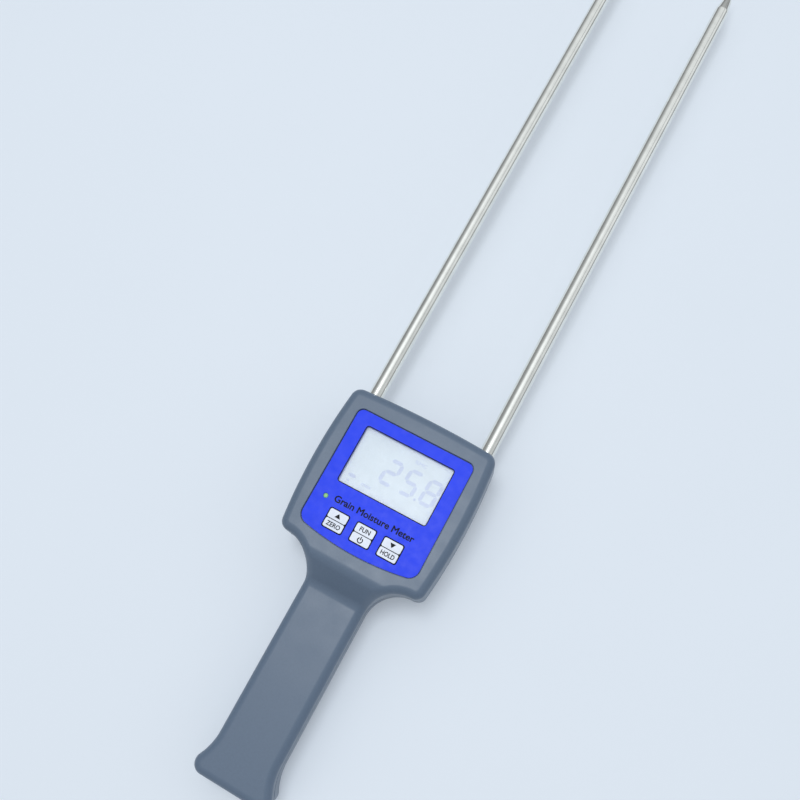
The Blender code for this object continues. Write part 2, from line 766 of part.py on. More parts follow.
def nut(name, x, start):
    ends = (x, start, PARTING), (x, start + NUT_THICKNESS, PARTING)
    made = rod(name, *ends, NUT_RADIUS, PLATED, sides=6)
    hole = (x, start - 1, PARTING), (x, start + NUT_THICKNESS + 1, PARTING)
    cut(made, rod("nut_hole", *hole, PROBE_CLEAR))


def lug(name, x, start):
    """A ring terminal on the probe, with a tail towards the middle of the head."""
    side = 1 if x > 0 else -1
    made = ring(name, PROBE_CLEAR, LUG_RADIUS, (start, start + LUG_THICKNESS), x, PARTING, BRASS)
    inner, outer = sorted((x - side * (PROBE_CLEAR + 0.9), x - side * LUG_TAIL))
    tail = box("lug_tail", (inner, start, PARTING - 1.6), (outer, start + LUG_THICKNESS, PARTING + 1.6))
    join(made, tail)


def probe_assembly(name, side):
    x = side * PROBE_X
    start, end = HOLDER[1:3]
    lug_start = start - GAP - LUG_THICKNESS
    probe(f"probe_{name}", x)
    nut(f"probe_nut_front_{name}", x, end + GAP)
    nut(f"probe_nut_rear_{name}", x, lug_start - GAP - NUT_THICKNESS)
    lug(f"probe_lug_{name}", x, lug_start)
    ring(f"probe_bush_{name}", PROBE_CLEAR, BUSH_RADIUS, BUSH_ENDS, x, PARTING, BLACK_PLASTIC)
    middle = lug_start + LUG_THICKNESS / 2
    tail = x - side * (LUG_TAIL + GAP)
    route = [(tail, middle, PARTING), (side * 13.5, middle, PARTING + 0.2), (side * 11, middle, 19)]
    route += [(side * 10.1, middle, 21.4), (side * 10, middle, BOARD_UNDERSIDE - GAP)]
    wire(f"probe_lead_{name}", route, 0.7, RED_LEAD if side > 0 else BLACK_LEAD)


def probe_holder():
    """The bar across the head that both probes are clamped in, and its two screws."""
    half, start, end, low, high = HOLDER
    middle = (start + end) / 2
    bar = box("probe_holder", (-half, start, low), (half, end, high), BLACK_PLASTIC)
    profile = [(0, 1.7), (1.8, 1.7), (2.6, 1.0), (2.6, 0), (1.4, 0), (1.4, -11.4), (0.5, -12.6), (0, -12.6)]
    for name, side in (("left", -1), ("right", 1)):
        x = side * PROBE_X
        cut(bar, rod("probe_way", (x, start - 1, PARTING), (x, end + 1, PARTING), PROBE_CLEAR))
        x = side * HOLDER_SCREW_X
        cut(bar, rod("holder_way", (x, middle, low - 1), (x, middle, high + 1), 1.7, sides=12))
        cut(bar, rod("holder_seat", (x, middle, HOLDER_SEAT), (x, middle, high + 1), 2.9, sides=12))
        turned(f"holder_screw_{name}", profile, (x, middle, HOLDER_SEAT + GAP), PLATED, sides=12)


# Battery


def battery():
    """The block battery, its two snap terminals, the connector on them, its leads and the foam above."""
    half, start, end, low, high = BATTERY
    middle = (low + high) / 2
    box("battery", (-half, start, low), (half, end, high), JACKET, bevel=1.2, segments=2)
    foot = end + GAP
    top = TERMINAL_HEIGHT
    stud = [(0, top), (2.5, top), (2.9, 2.0), (2.6, 1.0), (3.4, 0.6), (3.4, 0), (0, 0)]
    turned("battery_stud", stud, (-TERMINAL_X, foot, middle), PLATED, along_d=True)
    socket = [(0, 1.0), (2.9, 1.0), (3.1, top), (3.9, top), (3.9, 0), (0, 0)]
    turned("battery_socket", socket, (TERMINAL_X, foot, middle), PLATED, sides=12, along_d=True)

    face = foot + top + GAP
    back = face + 4.4
    box("snap_connector", (-12.3, face, 4.6), (12.3, back, 18.8), BLACK_PLASTIC, bevel=0.8)
    box("battery_foam", (-8, 20, high + GAP), (8, 45, GRIP_FACE - WALL - GAP), FOAM)
    for name, side, material in (("red", 1, RED_LEAD), ("black", -1, BLACK_LEAD)):
        route = [(3, back + GAP, 12), (4.2, 67.3, 12), (6.6, 73, 12), (7.5, 80, 12), (6.9, 88, 12.5)]
        route += [(5.2, 97, 14.5), (3.2, 106, 18.4), (2.4, 110.4, 20.7), (2.2, 113.8 - GAP, 21.2)]
        wire(f"battery_lead_{name}", [(side * x, d, z) for x, d, z in route], 0.65, material)


def battery_door():
    """A sliding door, flush with the back and the grip's rounded end, with a tongue along each side."""
    low, high = TONGUE_LEVELS
    start = math.tan(REAR_DRAFT) * (PARTING - GAP / 2 - REAR_EDGE)
    door = box("battery_door", (-DOOR_HALF, start, 0), (DOOR_HALF, DOOR_LENGTH, high), CASING)
    shape = bmesh.new()
    shape.from_mesh(door.data)
    end, foot = min(v.co.y for v in shape.verts), min(v.co.z for v in shape.verts)
    end_edge = [e for e in shape.edges if all(v.co.y == end and v.co.z == foot for v in e.verts)]
    bmesh.ops.bevel(
        shape, geom=end_edge, offset=REAR_EDGE * MM, segments=3, profile=0.5, affect="EDGES"
    )
    shape.to_mesh(door.data)
    shape.free()
    tongue = (-TONGUE_HALF, start + 0.4, low), (TONGUE_HALF, DOOR_LENGTH - 0.2, high - 0.1)
    join(door, box("door_tongue", *tongue))
    for ridge in range(DOOR_RIDGES):
        near = 44 + 2.4 * ridge
        cut(door, box("thumb_groove", (-7, near, -1), (7, near + 1.2, 0.5)))


def build():
    front_shell()
    rear_shell()
    case_screws()
    rear_label()
    face_overlay()
    display(window_pane())
    keys()
    indicator_lamp()
    main_board()
    board_screws()
    board_components()
    probe_holder()
    probe_assembly("left", -1)
    probe_assembly("right", 1)
    battery()
    battery_door()


build()
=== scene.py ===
"""The finished look of a hand-held grain moisture meter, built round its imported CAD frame.

Design sizes are in millimetres, as in the CAD: x across the meter, d along it from the end of the
grip, and z up from its flat back. at() turns such a point into the frame's metres.
"""

import math

import bmesh
import bpy
from mathutils import Matrix, Vector
from mathutils.geometry import interpolate_bezier, intersect_line_line_2d

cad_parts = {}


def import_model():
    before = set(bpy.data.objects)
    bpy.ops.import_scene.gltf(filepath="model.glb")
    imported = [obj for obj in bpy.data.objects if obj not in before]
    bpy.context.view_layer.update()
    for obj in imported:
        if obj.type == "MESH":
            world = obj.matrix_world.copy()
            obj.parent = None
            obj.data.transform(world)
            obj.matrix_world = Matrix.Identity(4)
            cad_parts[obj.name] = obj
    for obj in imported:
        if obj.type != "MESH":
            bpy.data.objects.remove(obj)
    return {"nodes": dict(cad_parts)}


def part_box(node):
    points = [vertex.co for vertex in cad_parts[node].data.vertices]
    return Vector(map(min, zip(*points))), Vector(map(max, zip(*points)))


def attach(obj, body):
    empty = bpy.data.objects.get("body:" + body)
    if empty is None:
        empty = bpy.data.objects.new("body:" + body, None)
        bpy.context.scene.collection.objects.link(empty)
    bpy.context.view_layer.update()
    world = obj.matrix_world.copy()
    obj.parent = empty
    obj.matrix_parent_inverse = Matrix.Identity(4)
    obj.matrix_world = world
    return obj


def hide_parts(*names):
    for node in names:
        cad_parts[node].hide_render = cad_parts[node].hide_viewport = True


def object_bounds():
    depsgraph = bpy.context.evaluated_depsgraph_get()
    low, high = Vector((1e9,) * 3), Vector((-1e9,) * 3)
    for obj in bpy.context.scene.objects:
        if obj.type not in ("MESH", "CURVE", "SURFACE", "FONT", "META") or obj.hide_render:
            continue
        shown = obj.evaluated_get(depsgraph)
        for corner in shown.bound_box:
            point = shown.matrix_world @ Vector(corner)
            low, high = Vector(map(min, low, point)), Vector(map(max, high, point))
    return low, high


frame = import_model()
CAD_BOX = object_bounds()
NODES = frame["nodes"]

MM = 0.001
LENGTH = (CAD_BOX[1].y - CAD_BOX[0].y) / MM
THICKNESS = CAD_BOX[1].z / MM
GAP = 0.3
PARTING = 17.15
WALL = 1.8
PARTING_CHAMFER = 0.35
# How far a cutter reaches past the surface it opens
PAST = 1.0
SMOOTH_ANGLE = math.radians(32)

# Casing outline, as seen from the front
HEAD_HALF = 37.5
HEAD_SIDE_RADIUS = 265.0
HEAD_MIDDLE = 143.0
HEAD_TOP = 176.9
HEAD_TOP_RADIUS = 500.0
HEAD_TOP_CORNER = 5.0
SHOULDER = 104.7
SHOULDER_CORNER = 4.6
NECK_RADIUS = 16.0
GRIP_HALF = 14.9
FLARE_HALF = 18.4
FLARE_CORNER = 4.8
FLARE_RADIUS = 25.0

# Casing section, as seen from the side
GRIP_FACE = 25.0
FRONT_EDGE = 3.8
REAR_EDGE = 3.0
REAR_DRAFT = math.radians(3.5)
RAMP_FOOT = 88.3
RAMP_ANGLE = math.radians(45)
RAMP_RADIUS = 7.0
FOOT_RADIUS = 6.5

# Membrane face
FACE_HALF = 28.7
FACE_TOP = 167.4
FACE_BOTTOM = 108.8
FACE_BOTTOM_RADIUS = 130.0
FACE_TOP_CORNER = 3.0
FACE_BOTTOM_CORNER = 5.0
FACE_SURFACE = 34.25
FACE_THICKNESS = 0.5
# Where a cutter through the membrane starts and ends
THROUGH_FACE = (30.0, 36.0)
RECESS_FLOOR = FACE_SURFACE - FACE_THICKNESS - GAP
RECESS_LIP = 0.22
# The solid bed behind the recess, between two corners, and its top
FACE_BED = ((-33.4, 109.0), (33.4, 169.5), 33.6)

# Display, as half widths and half heights
WINDOW = (21.65, 13.65)
WINDOW_MIDDLE = 147.8
WINDOW_BORDER = 0.42
PANE = (26.0, 17.5)
PANE_DEPTH = 0.9
GLASS = (24.3, 16.3)

# Keys, from left to right
KEYS = {"zero": -13.4, "power": 0.0, "hold": 13.4}
KEY_ROW = 118.0
KEY = (4.9, 4.6)
KEY_CORNER = 0.9
KEY_SLOT = 0.12
KEY_TOP = 34.43
KEY_FLANGE = 0.9
KEY_MARK = 1.35
CELL_BORDER = (0.42, 0.4)
CELL_CORNER = 0.75
CELL_GAP = 0.17
MARK_LINE = 0.46
LAMP = (-22.8, 125.7)
LAMP_RADIUS = 1.08
LAMP_FOOT = (1.9, 1.5)
# Through the membrane and through the casing
LAMP_HOLES = (1.15, 1.8)

# Lettering: the capital height of the built-in face, and how thick print is
CAP_HEIGHT = 0.682
PRINT = 0.02
# The title's middle, width, height and added weight
TITLE = ((0.85, 126.7), 39.1, 3.1, 0.105)
KEY_WORD_WIDTHS = {"zero": 6.6, "power": 5.0, "hold": 6.6}
KEY_WORD_HEIGHT = 2.05
KEY_WORD_BOLD = 0.06

# Fixings and probes
CASE_SCREWS = {
    "head_left": (-19.0, 171.0),
    "head_right": (19.0, 171.0),
    "shoulder_left": (-29.5, 111.5),
    "shoulder_right": (29.5, 111.5),
    "grip": (0.0, 80.0),
}
BOARD_SCREWS = [(x, d) for x in (-30.2, 30.2) for d in (118.5, 160.0)]
FRONT_BOSS = 3.0
REAR_BOSS = 3.7
CASE_HOLE = 1.75
COUNTERBORE_RADIUS = 2.95
COUNTERBORE_DEPTH = 6.0
BOARD_FRONT = 25.9
BOARD_BOSS = 2.5
BOARD_HOLE = 1.2
PROBE_X = 29.1
PROBE_RADIUS = 3.5
PROBE_START = 131.5
PROBE_TAPER = 17.0
PROBE_CLEAR = PROBE_RADIUS + GAP
BUSH_RADIUS = 4.9
PROBE_EXIT = (173.0, 180.0)
BUSH_SEAT = (167.0, 174.2)
# Nearest and furthest x, start and end
BUSH_RIB = (22.3, 34.6, 170.2, 172.2)
HOLDER_SCREWS = [(-14.0, 146.0), (14.0, 146.0)]
HOLDER_BOSS = 3.2
HOLDER_HOLE = 1.7
# Half width, start and end
LABEL = (22.0, 125.0, 155.0)

# Battery and its door. The battery's are half width, start, end, underside and top
BATTERY = (12.7, 9.5, 55.5, 3.4, 20.0)
DOOR_LENGTH = 61.0
DOOR_HALF = 11.5
TONGUE_HALF = 12.4
TONGUE_LEVELS = (2.1, 3.1)


def at(x, d, z):
    return Vector((x * MM, (d - LENGTH / 2) * MM, z * MM))


# Materials


class Finish:
    """A procedural material: a Principled shader with layers of noise in its colour and surface."""

    def __init__(self, name, color, roughness, metallic=0.0, **sockets):
        self.material = bpy.data.materials.new(name)
        self.material.use_nodes = True
        self.tree = self.material.node_tree
        self.shader = self.tree.nodes["Principled BSDF"]
        self.color = [linear(c) for c in color]
        self.shader.inputs["Base Color"].default_value = (*self.color, 1)
        self.shader.inputs["Roughness"].default_value = roughness
        self.shader.inputs["Metallic"].default_value = metallic
        for socket, value in sockets.items():
            self.shader.inputs[socket.replace("_", " ")].default_value = value
        self.coords = self.tree.nodes.new("ShaderNodeTexCoord")
        self.normal = None

    def node(self, kind, **values):
        made = self.tree.nodes.new(kind)
        for key, value in values.items():
            setattr(made, key, value)
        return made

    def link(self, source, target):
        self.tree.links.new(source, target)

    def place(self, stretch=(1, 1, 1)):
        mapping = self.node("ShaderNodeMapping")
        mapping.inputs["Scale"].default_value = stretch
        self.link(self.coords.outputs["Object"], mapping.inputs["Vector"])
        return mapping.outputs["Vector"]

    def noise(self, size_mm, detail=3.0, stretch=(1, 1, 1)):
        """Noise whose features are about size_mm across."""
        noise = self.node("ShaderNodeTexNoise")
        noise.inputs["Scale"].default_value = 1 / (size_mm * MM)
        noise.inputs["Detail"].default_value = detail
        self.link(self.place(stretch), noise.inputs["Vector"])
        return noise.outputs["Fac"]

    def cells(self, size_mm, feature="F1"):
        cells = self.node("ShaderNodeTexVoronoi", feature=feature)
        cells.inputs["Scale"].default_value = 1 / (size_mm * MM)
        self.link(self.place(), cells.inputs["Vector"])
        return cells.outputs["Distance"]

    def spread(self, source, low, high, start=0.3, end=0.7):
        ranged = self.node("ShaderNodeMapRange")
        for socket, value in (("From Min", start), ("From Max", end), ("To Min", low), ("To Max", high)):
            ranged.inputs[socket].default_value = value
        self.link(source, ranged.inputs["Value"])
        return ranged.outputs["Result"]

    def tint(self, source, dark, light, start=0.3, end=0.7):
        """Colour between shares dark and light of the base colour."""
        mix = self.node("ShaderNodeMix", data_type="RGBA")
        sockets = {socket.identifier: socket for socket in mix.inputs}
        sockets["A_Color"].default_value = (*[c * dark for c in self.color], 1)
        sockets["B_Color"].default_value = (*[min(1.0, c * light) for c in self.color], 1)
        self.link(self.spread(source, 0, 1, start, end), sockets["Factor_Float"])
        result = next(s for s in mix.outputs if s.identifier == "Result_Color")
        self.link(result, self.shader.inputs["Base Color"])
        return result

    def rough(self, source, low, high):
        self.link(self.spread(source, low, high), self.shader.inputs["Roughness"])

    def bump(self, source, depth_mm):
        """Adds relief of about depth_mm to the surface, on top of any already there."""
        bump = self.node("ShaderNodeBump")
        bump.inputs["Strength"].default_value = 1.0
        bump.inputs["Distance"].default_value = depth_mm * MM
        self.link(source, bump.inputs["Height"])
        if self.normal:
            self.link(self.normal, bump.inputs["Normal"])
        self.normal = bump.outputs["Normal"]
        self.link(self.normal, self.shader.inputs["Normal"])


def linear(channel):
    channel /= 255
    return channel / 12.92 if channel <= 0.04045 else ((channel + 0.055) / 1.055) ** 2.4


def moulded(name, color, roughness, texture=0.32, depth=0.012, **sockets):
    """Moulded plastic: a fine spark-eroded texture, faint clouding, and uneven gloss."""
    made = Finish(name, color, roughness, **sockets)
    made.tint(made.noise(0.9, 6), 0.97, 1.03)
    made.rough(made.noise(9, 4), roughness - 0.04, roughness + 0.04)
    made.bump(made.noise(texture, 2), depth)
    return made.material


def film(name, color, roughness, **sockets):
    """Printed plastic film: a very fine orange-peel texture and near-even colour."""
    made = Finish(name, color, roughness, **sockets)
    made.tint(made.noise(9, 3), 0.97, 1.03)
    made.rough(made.noise(3, 3), roughness - 0.04, roughness + 0.04)
    made.bump(made.noise(0.18, 2), 0.003)
    return made.material


def polished_rod(name, color, roughness):
    """Drawn and polished steel: fine scratches along the rod and a few smears."""
    made = Finish(name, color, roughness, metallic=1.0)
    scratches = made.noise(0.25, 3, stretch=(1, 0.012, 1))
    made.tint(made.noise(7, 4), 0.93, 1.04)
    made.rough(made.noise(4, 5, stretch=(1, 0.15, 1)), roughness - 0.03, roughness + 0.05)
    made.bump(scratches, 0.0009)
    return made.material


def plated(name, color, roughness):
    made = Finish(name, color, roughness, metallic=1.0)
    made.tint(made.noise(1.5, 4), 0.86, 1.06)
    made.rough(made.noise(0.8, 4), roughness - 0.08, roughness + 0.1)
    made.bump(made.noise(0.2, 3), 0.004)
    return made.material


def rubber(name, color, roughness):
    made = Finish(name, color, roughness)
    made.tint(made.noise(2, 4), 0.85, 1.15)
    made.rough(made.noise(0.5, 3), roughness - 0.08, roughness + 0.08)
    made.bump(made.noise(0.12, 3), 0.008)
    return made.material


def open_foam(name, color):
    made = Finish(name, color, 0.95)
    pores = made.cells(0.7)
    # Painted shade: the colour darkens where the bump sinks into the pores and lightens where it stands up
    made.tint(pores, 1.25, 0.45, 0.1, 0.8)
    made.rough(made.noise(0.5, 2), 0.85, 1.0)
    made.bump(pores, -0.25)
    return made.material


def circuit_board(name, color):
    """Solder resist over copper, with the weave of the laminate just showing."""
    made = Finish(name, color, 0.38)
    tracks = made.cells(2.4, feature="DISTANCE_TO_EDGE")
    made.tint(made.spread(tracks, 1, 0, 0.08, 0.13), 0.8, 1.7, 0, 1)
    made.rough(made.noise(2, 3), 0.3, 0.46)
    made.bump(made.spread(tracks, 1, 0, 0.08, 0.13), 0.03)
    made.bump(made.noise(0.5, 1, stretch=(1, 0.3, 1)), 0.006)
    return made.material


def clear_sheet(name, color, alpha):
    made = Finish(name, color, 0.2, Alpha=alpha)
    made.tint(made.noise(12, 2), 0.98, 1.02)
    made.rough(made.noise(5, 4), 0.17, 0.23)
    made.bump(made.noise(14, 1), 0.003)
    return made.material


CASING = moulded("casing_plastic", (101, 117, 137), 0.33, Specular_IOR_Level=0.3)
FACE_BLUE = film("face_blue", (8, 60, 250), 0.42, Specular_IOR_Level=0.25)
KEY_WHITE = film("key_white", (226, 233, 247), 0.36)
INK = film("black_ink", (10, 12, 22), 0.5, Specular_IOR_Level=0.15)
CLEAR = clear_sheet("clear_plastic", (235, 242, 248), 0.12)
# The polariser glows faintly: a painted glow that lifts the shade the window's edges cast on the display
POLARISER_PAINTED_GLOW = film(
    "display_polariser_painted_glow", (214, 226, 235), 0.3, Emission_Color=(0.69, 0.79, 0.86, 1), Emission_Strength=0.03
)
SEGMENT = film("display_segment", (190, 202, 232), 0.3)
LCD_GLASS = film("display_glass_edge", (176, 196, 190), 0.12)
BLACK_PLASTIC = moulded("black_plastic", (26, 27, 29), 0.5)
WHITE_PLASTIC = moulded("white_plastic", (224, 224, 218), 0.5)
ELASTOMER = rubber("elastomer", (70, 66, 72), 0.75)
BOARD_GREEN = circuit_board("board_green", (20, 84, 50))
LAMP_GREEN = film("lamp_green", (150, 212, 140), 0.4)
STEEL = polished_rod("probe_steel", (240, 240, 234), 0.1)
PLATED = plated("plated_steel", (190, 190, 188), 0.36)
BRASS = plated("tinned_brass", (200, 178, 120), 0.36)
RED_LEAD = rubber("red_lead", (186, 28, 28), 0.5)
BLACK_LEAD = rubber("black_lead", (24, 24, 26), 0.5)
JACKET = plated("battery_jacket", (62, 72, 92), 0.34)
FOAM = open_foam("foam", (58, 58, 62))
LABEL_SILVER = plated("label_silver", (198, 200, 204), 0.42)
LABEL_INK = film("label_ink", (70, 74, 82), 0.45)


# Shapes


def add(name, data, material=None):
    made = bpy.data.objects.new(name, data)
    bpy.context.scene.collection.objects.link(made)
    if material:
        data.materials.clear()
        data.materials.append(material)
    return made


def mesh_from(name, shape):
    bmesh.ops.recalc_face_normals(shape, faces=shape.faces)
    mesh = bpy.data.meshes.new(name)
    shape.to_mesh(mesh)
    shape.free()
    return mesh


def skin(shape, rings):
    """Closes rings of equally many vertices into a solid with flat ends."""
    for near, far in zip(rings, rings[1:]):
        for i, vertex in enumerate(near):
            j = (i + 1) % len(near)
            shape.faces.new((vertex, near[j], far[j], far[i]))
    shape.faces.new(reversed(rings[0]))
    shape.faces.new(rings[-1])


def loft(name, loops, material=None):
    """A closed solid through loops of (outline, height) with equally many points."""
    shape = bmesh.new()
    skin(shape, [[shape.verts.new(at(x, d, z)) for x, d in outline] for outline, z in loops])
    return add(name, mesh_from(name, shape), material)


def plate(name, outline, low, high, edge=0.0, material=None):
    """A flat piece from an outline function of how far it is drawn in, with its edges rounded by edge."""
    if not edge:
        return loft(name, [(outline(0), low), (outline(0), high)], material)
    turns = [math.radians(90 * step / 3) for step in range(4)]
    foot = [(outline(edge * (1 - math.sin(t))), low + edge * (1 - math.cos(t))) for t in turns]
    head = [(outline(edge * (1 - math.cos(t))), high - edge * (1 - math.sin(t))) for t in turns]
    return loft(name, foot + head, material)


def lathe(name, profile, place, material=None, sides=48, along_d=False):
    """A turned piece from (radius, height) points, which start and end on its axis."""
    shape = bmesh.new()
    rings = []
    for radius, height in profile:
        if radius == 0:
            rings.append([shape.verts.new((0, 0, height))])
            continue
        turns = [2 * math.pi * i / sides for i in range(sides)]
        rings.append([shape.verts.new((radius * math.cos(t), radius * math.sin(t), height)) for t in turns])
    for low, high in zip(rings, rings[1:]):
        for i in range(sides):
            j = (i + 1) % sides
            corners = [low[i % len(low)], low[j % len(low)], high[j % len(high)], high[i % len(high)]]
            shape.faces.new(list(dict.fromkeys(corners)))
    turn = Matrix.Rotation(-math.pi / 2, 4, "X") if along_d else Matrix.Identity(4)
    shape.transform(Matrix.Translation(at(*place)) @ turn @ Matrix.Scale(MM, 4))
    return add(name, mesh_from(name, shape), material)


def rod(start, end, radius, sides=48):
    """A plain cylinder to cut or join with."""
    start, end = at(*start), at(*end)
    shape = bmesh.new()
    turn = (end - start).to_track_quat("Z", "Y").to_matrix().to_4x4()
    bmesh.ops.create_cone(
        shape,
        cap_ends=True,
        segments=sides,
        radius1=radius * MM,
        radius2=radius * MM,
        depth=(end - start).length,
        matrix=Matrix.Translation((start + end) / 2) @ turn,
    )
    return add("tool", mesh_from("tool", shape))


def block(low, high):
    """A box between two corners to cut or join with."""
    low, high = at(*low), at(*high)
    shape = bmesh.new()
    size = Matrix.Diagonal((*(high - low), 1))
    bmesh.ops.create_cube(shape, size=1, matrix=Matrix.Translation((low + high) / 2) @ size)
    return add("tool", mesh_from("tool", shape))


def combine(target, tool, operation):
    step = target.modifiers.new("step", "BOOLEAN")
    step.operation = operation
    step.solver = "EXACT"
    step.object = tool
    tool.hide_render = True
    TOOLS.append(tool)


def cut(target, tool):
    combine(target, tool, "DIFFERENCE")


def join(target, tool):
    combine(target, tool, "UNION")


TOOLS = []


def settle(piece):
    """Applies the piece's Boolean steps, removes their tools, and shades it smoothly up to an angle."""
    if piece.modifiers:
        graph = bpy.context.evaluated_depsgraph_get()
        mesh = bpy.data.meshes.new_from_object(piece.evaluated_get(graph))
        piece.modifiers.clear()
        piece.data = mesh
        while TOOLS:
            bpy.data.objects.remove(TOOLS.pop())
        shape = bmesh.new()
        shape.from_mesh(mesh)
        bmesh.ops.remove_doubles(shape, verts=shape.verts, dist=1e-7)
        bmesh.ops.dissolve_degenerate(shape, edges=shape.edges, dist=1e-7)
        shape.to_mesh(mesh)
        shape.free()
    piece.data.shade_smooth()
    piece.data.set_sharp_from_angle(angle=SMOOTH_ANGLE)
    normals = piece.modifiers.new("normals", "WEIGHTED_NORMAL")
    normals.keep_sharp = True


def fit(piece, body, slot, *nodes):
    """Settles a piece, sets it on its body, and hides the CAD parts it stands in for."""
    settle(piece)
    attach(piece, body)
    if nodes:
        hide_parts(*nodes)


# Outlines


def arc(middle, radius, start, end, steps):
    for step in range(steps + 1):
        angle = math.radians(start + (end - start) * step / steps)
        yield middle[0] + radius * math.cos(angle), middle[1] + radius * math.sin(angle)


def heading(start, end):
    return math.degrees(math.atan2(end[1] - start[1], end[0] - start[0]))


def mirrored(half):
    return half + [(-x, d) for x, d in reversed(half[1:-1])]


def rounded(middle, half, corner, steps=6):
    """An outline function of a rounded rectangle. It keeps its corners' middles as it is drawn in."""

    def outline(inset=0.0):
        x, d = half[0] - corner, half[1] - corner
        radius = max(corner - inset, 0.02)
        points = []
        for turn, (sx, sd) in enumerate(((1, 1), (-1, 1), (-1, -1), (1, -1))):
            points += arc((middle[0] + sx * x, middle[1] + sd * d), radius, 90 * turn, 90 * turn + 90, steps)
        return points

    return outline


def casing_outline(inset=0.0):
    """The casing's outline, drawn in by an even amount: flared end, grip, neck and bowed head."""
    flare = (FLARE_HALF - FLARE_CORNER, FLARE_CORNER)
    hollow_x = GRIP_HALF + FLARE_RADIUS
    reach = FLARE_RADIUS + FLARE_CORNER
    hollow = (hollow_x, flare[1] + math.sqrt(reach**2 - (hollow_x - flare[0]) ** 2))
    flare_turn = heading(flare, hollow)

    neck = (GRIP_HALF + NECK_RADIUS, SHOULDER - NECK_RADIUS)
    side = (HEAD_HALF - HEAD_SIDE_RADIUS, HEAD_MIDDLE)
    top = (0.0, HEAD_TOP - HEAD_TOP_RADIUS)
    low = SHOULDER + SHOULDER_CORNER
    reach = HEAD_SIDE_RADIUS - SHOULDER_CORNER
    shoulder = (side[0] + math.sqrt(reach**2 - (low - side[1]) ** 2), low)
    corner = head_corner(side, top)

    half = [(0.0, inset)]
    half += arc(flare, FLARE_CORNER - inset, -90, flare_turn, 14)
    half += list(arc(hollow, FLARE_RADIUS + inset, flare_turn + 180, 180, 10))[1:]
    half += arc(neck, NECK_RADIUS + inset, 180, 90, 20)
    half += list(arc(shoulder, SHOULDER_CORNER - inset, -90, heading(side, shoulder), 12))[1:]
    steps = heading(side, shoulder), heading(side, corner), 16
    half += list(arc(side, HEAD_SIDE_RADIUS - inset, *steps))[1:-1]
    half += arc(corner, HEAD_TOP_CORNER - inset, heading(side, corner), heading(top, corner), 12)
    half += list(arc(top, HEAD_TOP_RADIUS - inset, heading(top, corner), 90, 8))[1:]
    return mirrored(half)


def head_corner(side, top):
    """The middle of the corner that rounds the bowed side into the bowed top edge."""
    reach_side = HEAD_SIDE_RADIUS - HEAD_TOP_CORNER
    reach_top = HEAD_TOP_RADIUS - HEAD_TOP_CORNER
    x, d = HEAD_HALF, HEAD_TOP
    for _ in range(20):
        x = side[0] + math.sqrt(reach_side**2 - (d - side[1]) ** 2)
        d = top[1] + math.sqrt(reach_top**2 - x**2)
    return x, d


def face_outline(inset=0.0):
    """The membrane face: a rounded rectangle whose lower edge bows downwards."""
    half = FACE_HALF - FACE_BOTTOM_CORNER
    bow = (0.0, FACE_BOTTOM + FACE_BOTTOM_RADIUS)
    low = (half, bow[1] - math.sqrt((FACE_BOTTOM_RADIUS - FACE_BOTTOM_CORNER) ** 2 - half**2))
    high = (FACE_HALF - FACE_TOP_CORNER, FACE_TOP - FACE_TOP_CORNER)
    points = list(arc(bow, FACE_BOTTOM_RADIUS - inset, -90, heading(bow, low), 14))
    points += list(arc(low, FACE_BOTTOM_CORNER - inset, heading(bow, low), 0, 10))[1:]
    points += arc(high, FACE_TOP_CORNER - inset, 0, 90, 8)
    return mirrored([*points, (0.0, FACE_TOP - inset)])


def ramp_marks():
    """Where the fillet at the ramp's foot ends, and where the bend at its top starts and ends."""
    foot_end = RAMP_FOOT + FOOT_RADIUS * math.sin(RAMP_ANGLE)
    rounded_drop = (FOOT_RADIUS + RAMP_RADIUS) * (1 - math.cos(RAMP_ANGLE))
    bend_start = foot_end + (THICKNESS - GRIP_FACE - rounded_drop) / math.tan(RAMP_ANGLE)
    return foot_end, bend_start, bend_start + RAMP_RADIUS * math.sin(RAMP_ANGLE)


def ramp_drop(d):
    """How far the front surface lies below the head's face: nothing on the head, all of it on the grip."""
    full = THICKNESS - GRIP_FACE
    foot_end, bend_start, crest = ramp_marks()
    if d <= RAMP_FOOT:
        return full
    if d < foot_end:
        return full - FOOT_RADIUS + math.sqrt(FOOT_RADIUS**2 - (d - RAMP_FOOT) ** 2)
    if d <= bend_start:
        foot_rise = FOOT_RADIUS * (1 - math.cos(RAMP_ANGLE))
        return full - foot_rise - (d - foot_end) * math.tan(RAMP_ANGLE)
    if d < crest:
        return RAMP_RADIUS - math.sqrt(RAMP_RADIUS**2 - (crest - d) ** 2)
    return 0.0


def ramp_stations():
    """Where the front surface is cut across so that it can follow the ramp."""
    crest = ramp_marks()[-1]
    foot = [RAMP_FOOT + FOOT_RADIUS * math.sin(RAMP_ANGLE * step / 10) for step in range(11)]
    bend = [crest - RAMP_RADIUS * math.sin(RAMP_ANGLE * step / 14) for step in range(14, -1, -1)]
    return foot + bend


# Casing


def shell(name, parting, outer, edge, draft=0.0):
    """A hollow casing half: its inner skin, the parting face, and its outer skin with a rounded rim."""
    side = 1 if outer > parting else -1
    drawn_in = math.tan(draft) * (abs(outer - parting) - edge)

    def rim(radius, steps):
        turns = [math.radians(90 * step / steps) for step in range(steps + 1)]
        return [
            (drawn_in + edge - radius * math.cos(turn), outer - side * (edge - radius * math.sin(turn)))
            for turn in turns
        ]

    inner = [(WALL, parting), *rim(edge - WALL, 5)]
    skin = [(PARTING_CHAMFER, parting), (0, parting + side * PARTING_CHAMFER), *rim(edge, 10)]
    loops = [*reversed(inner), *skin]
    return loft(name, [(casing_outline(inset), z) for inset, z in loops], CASING)


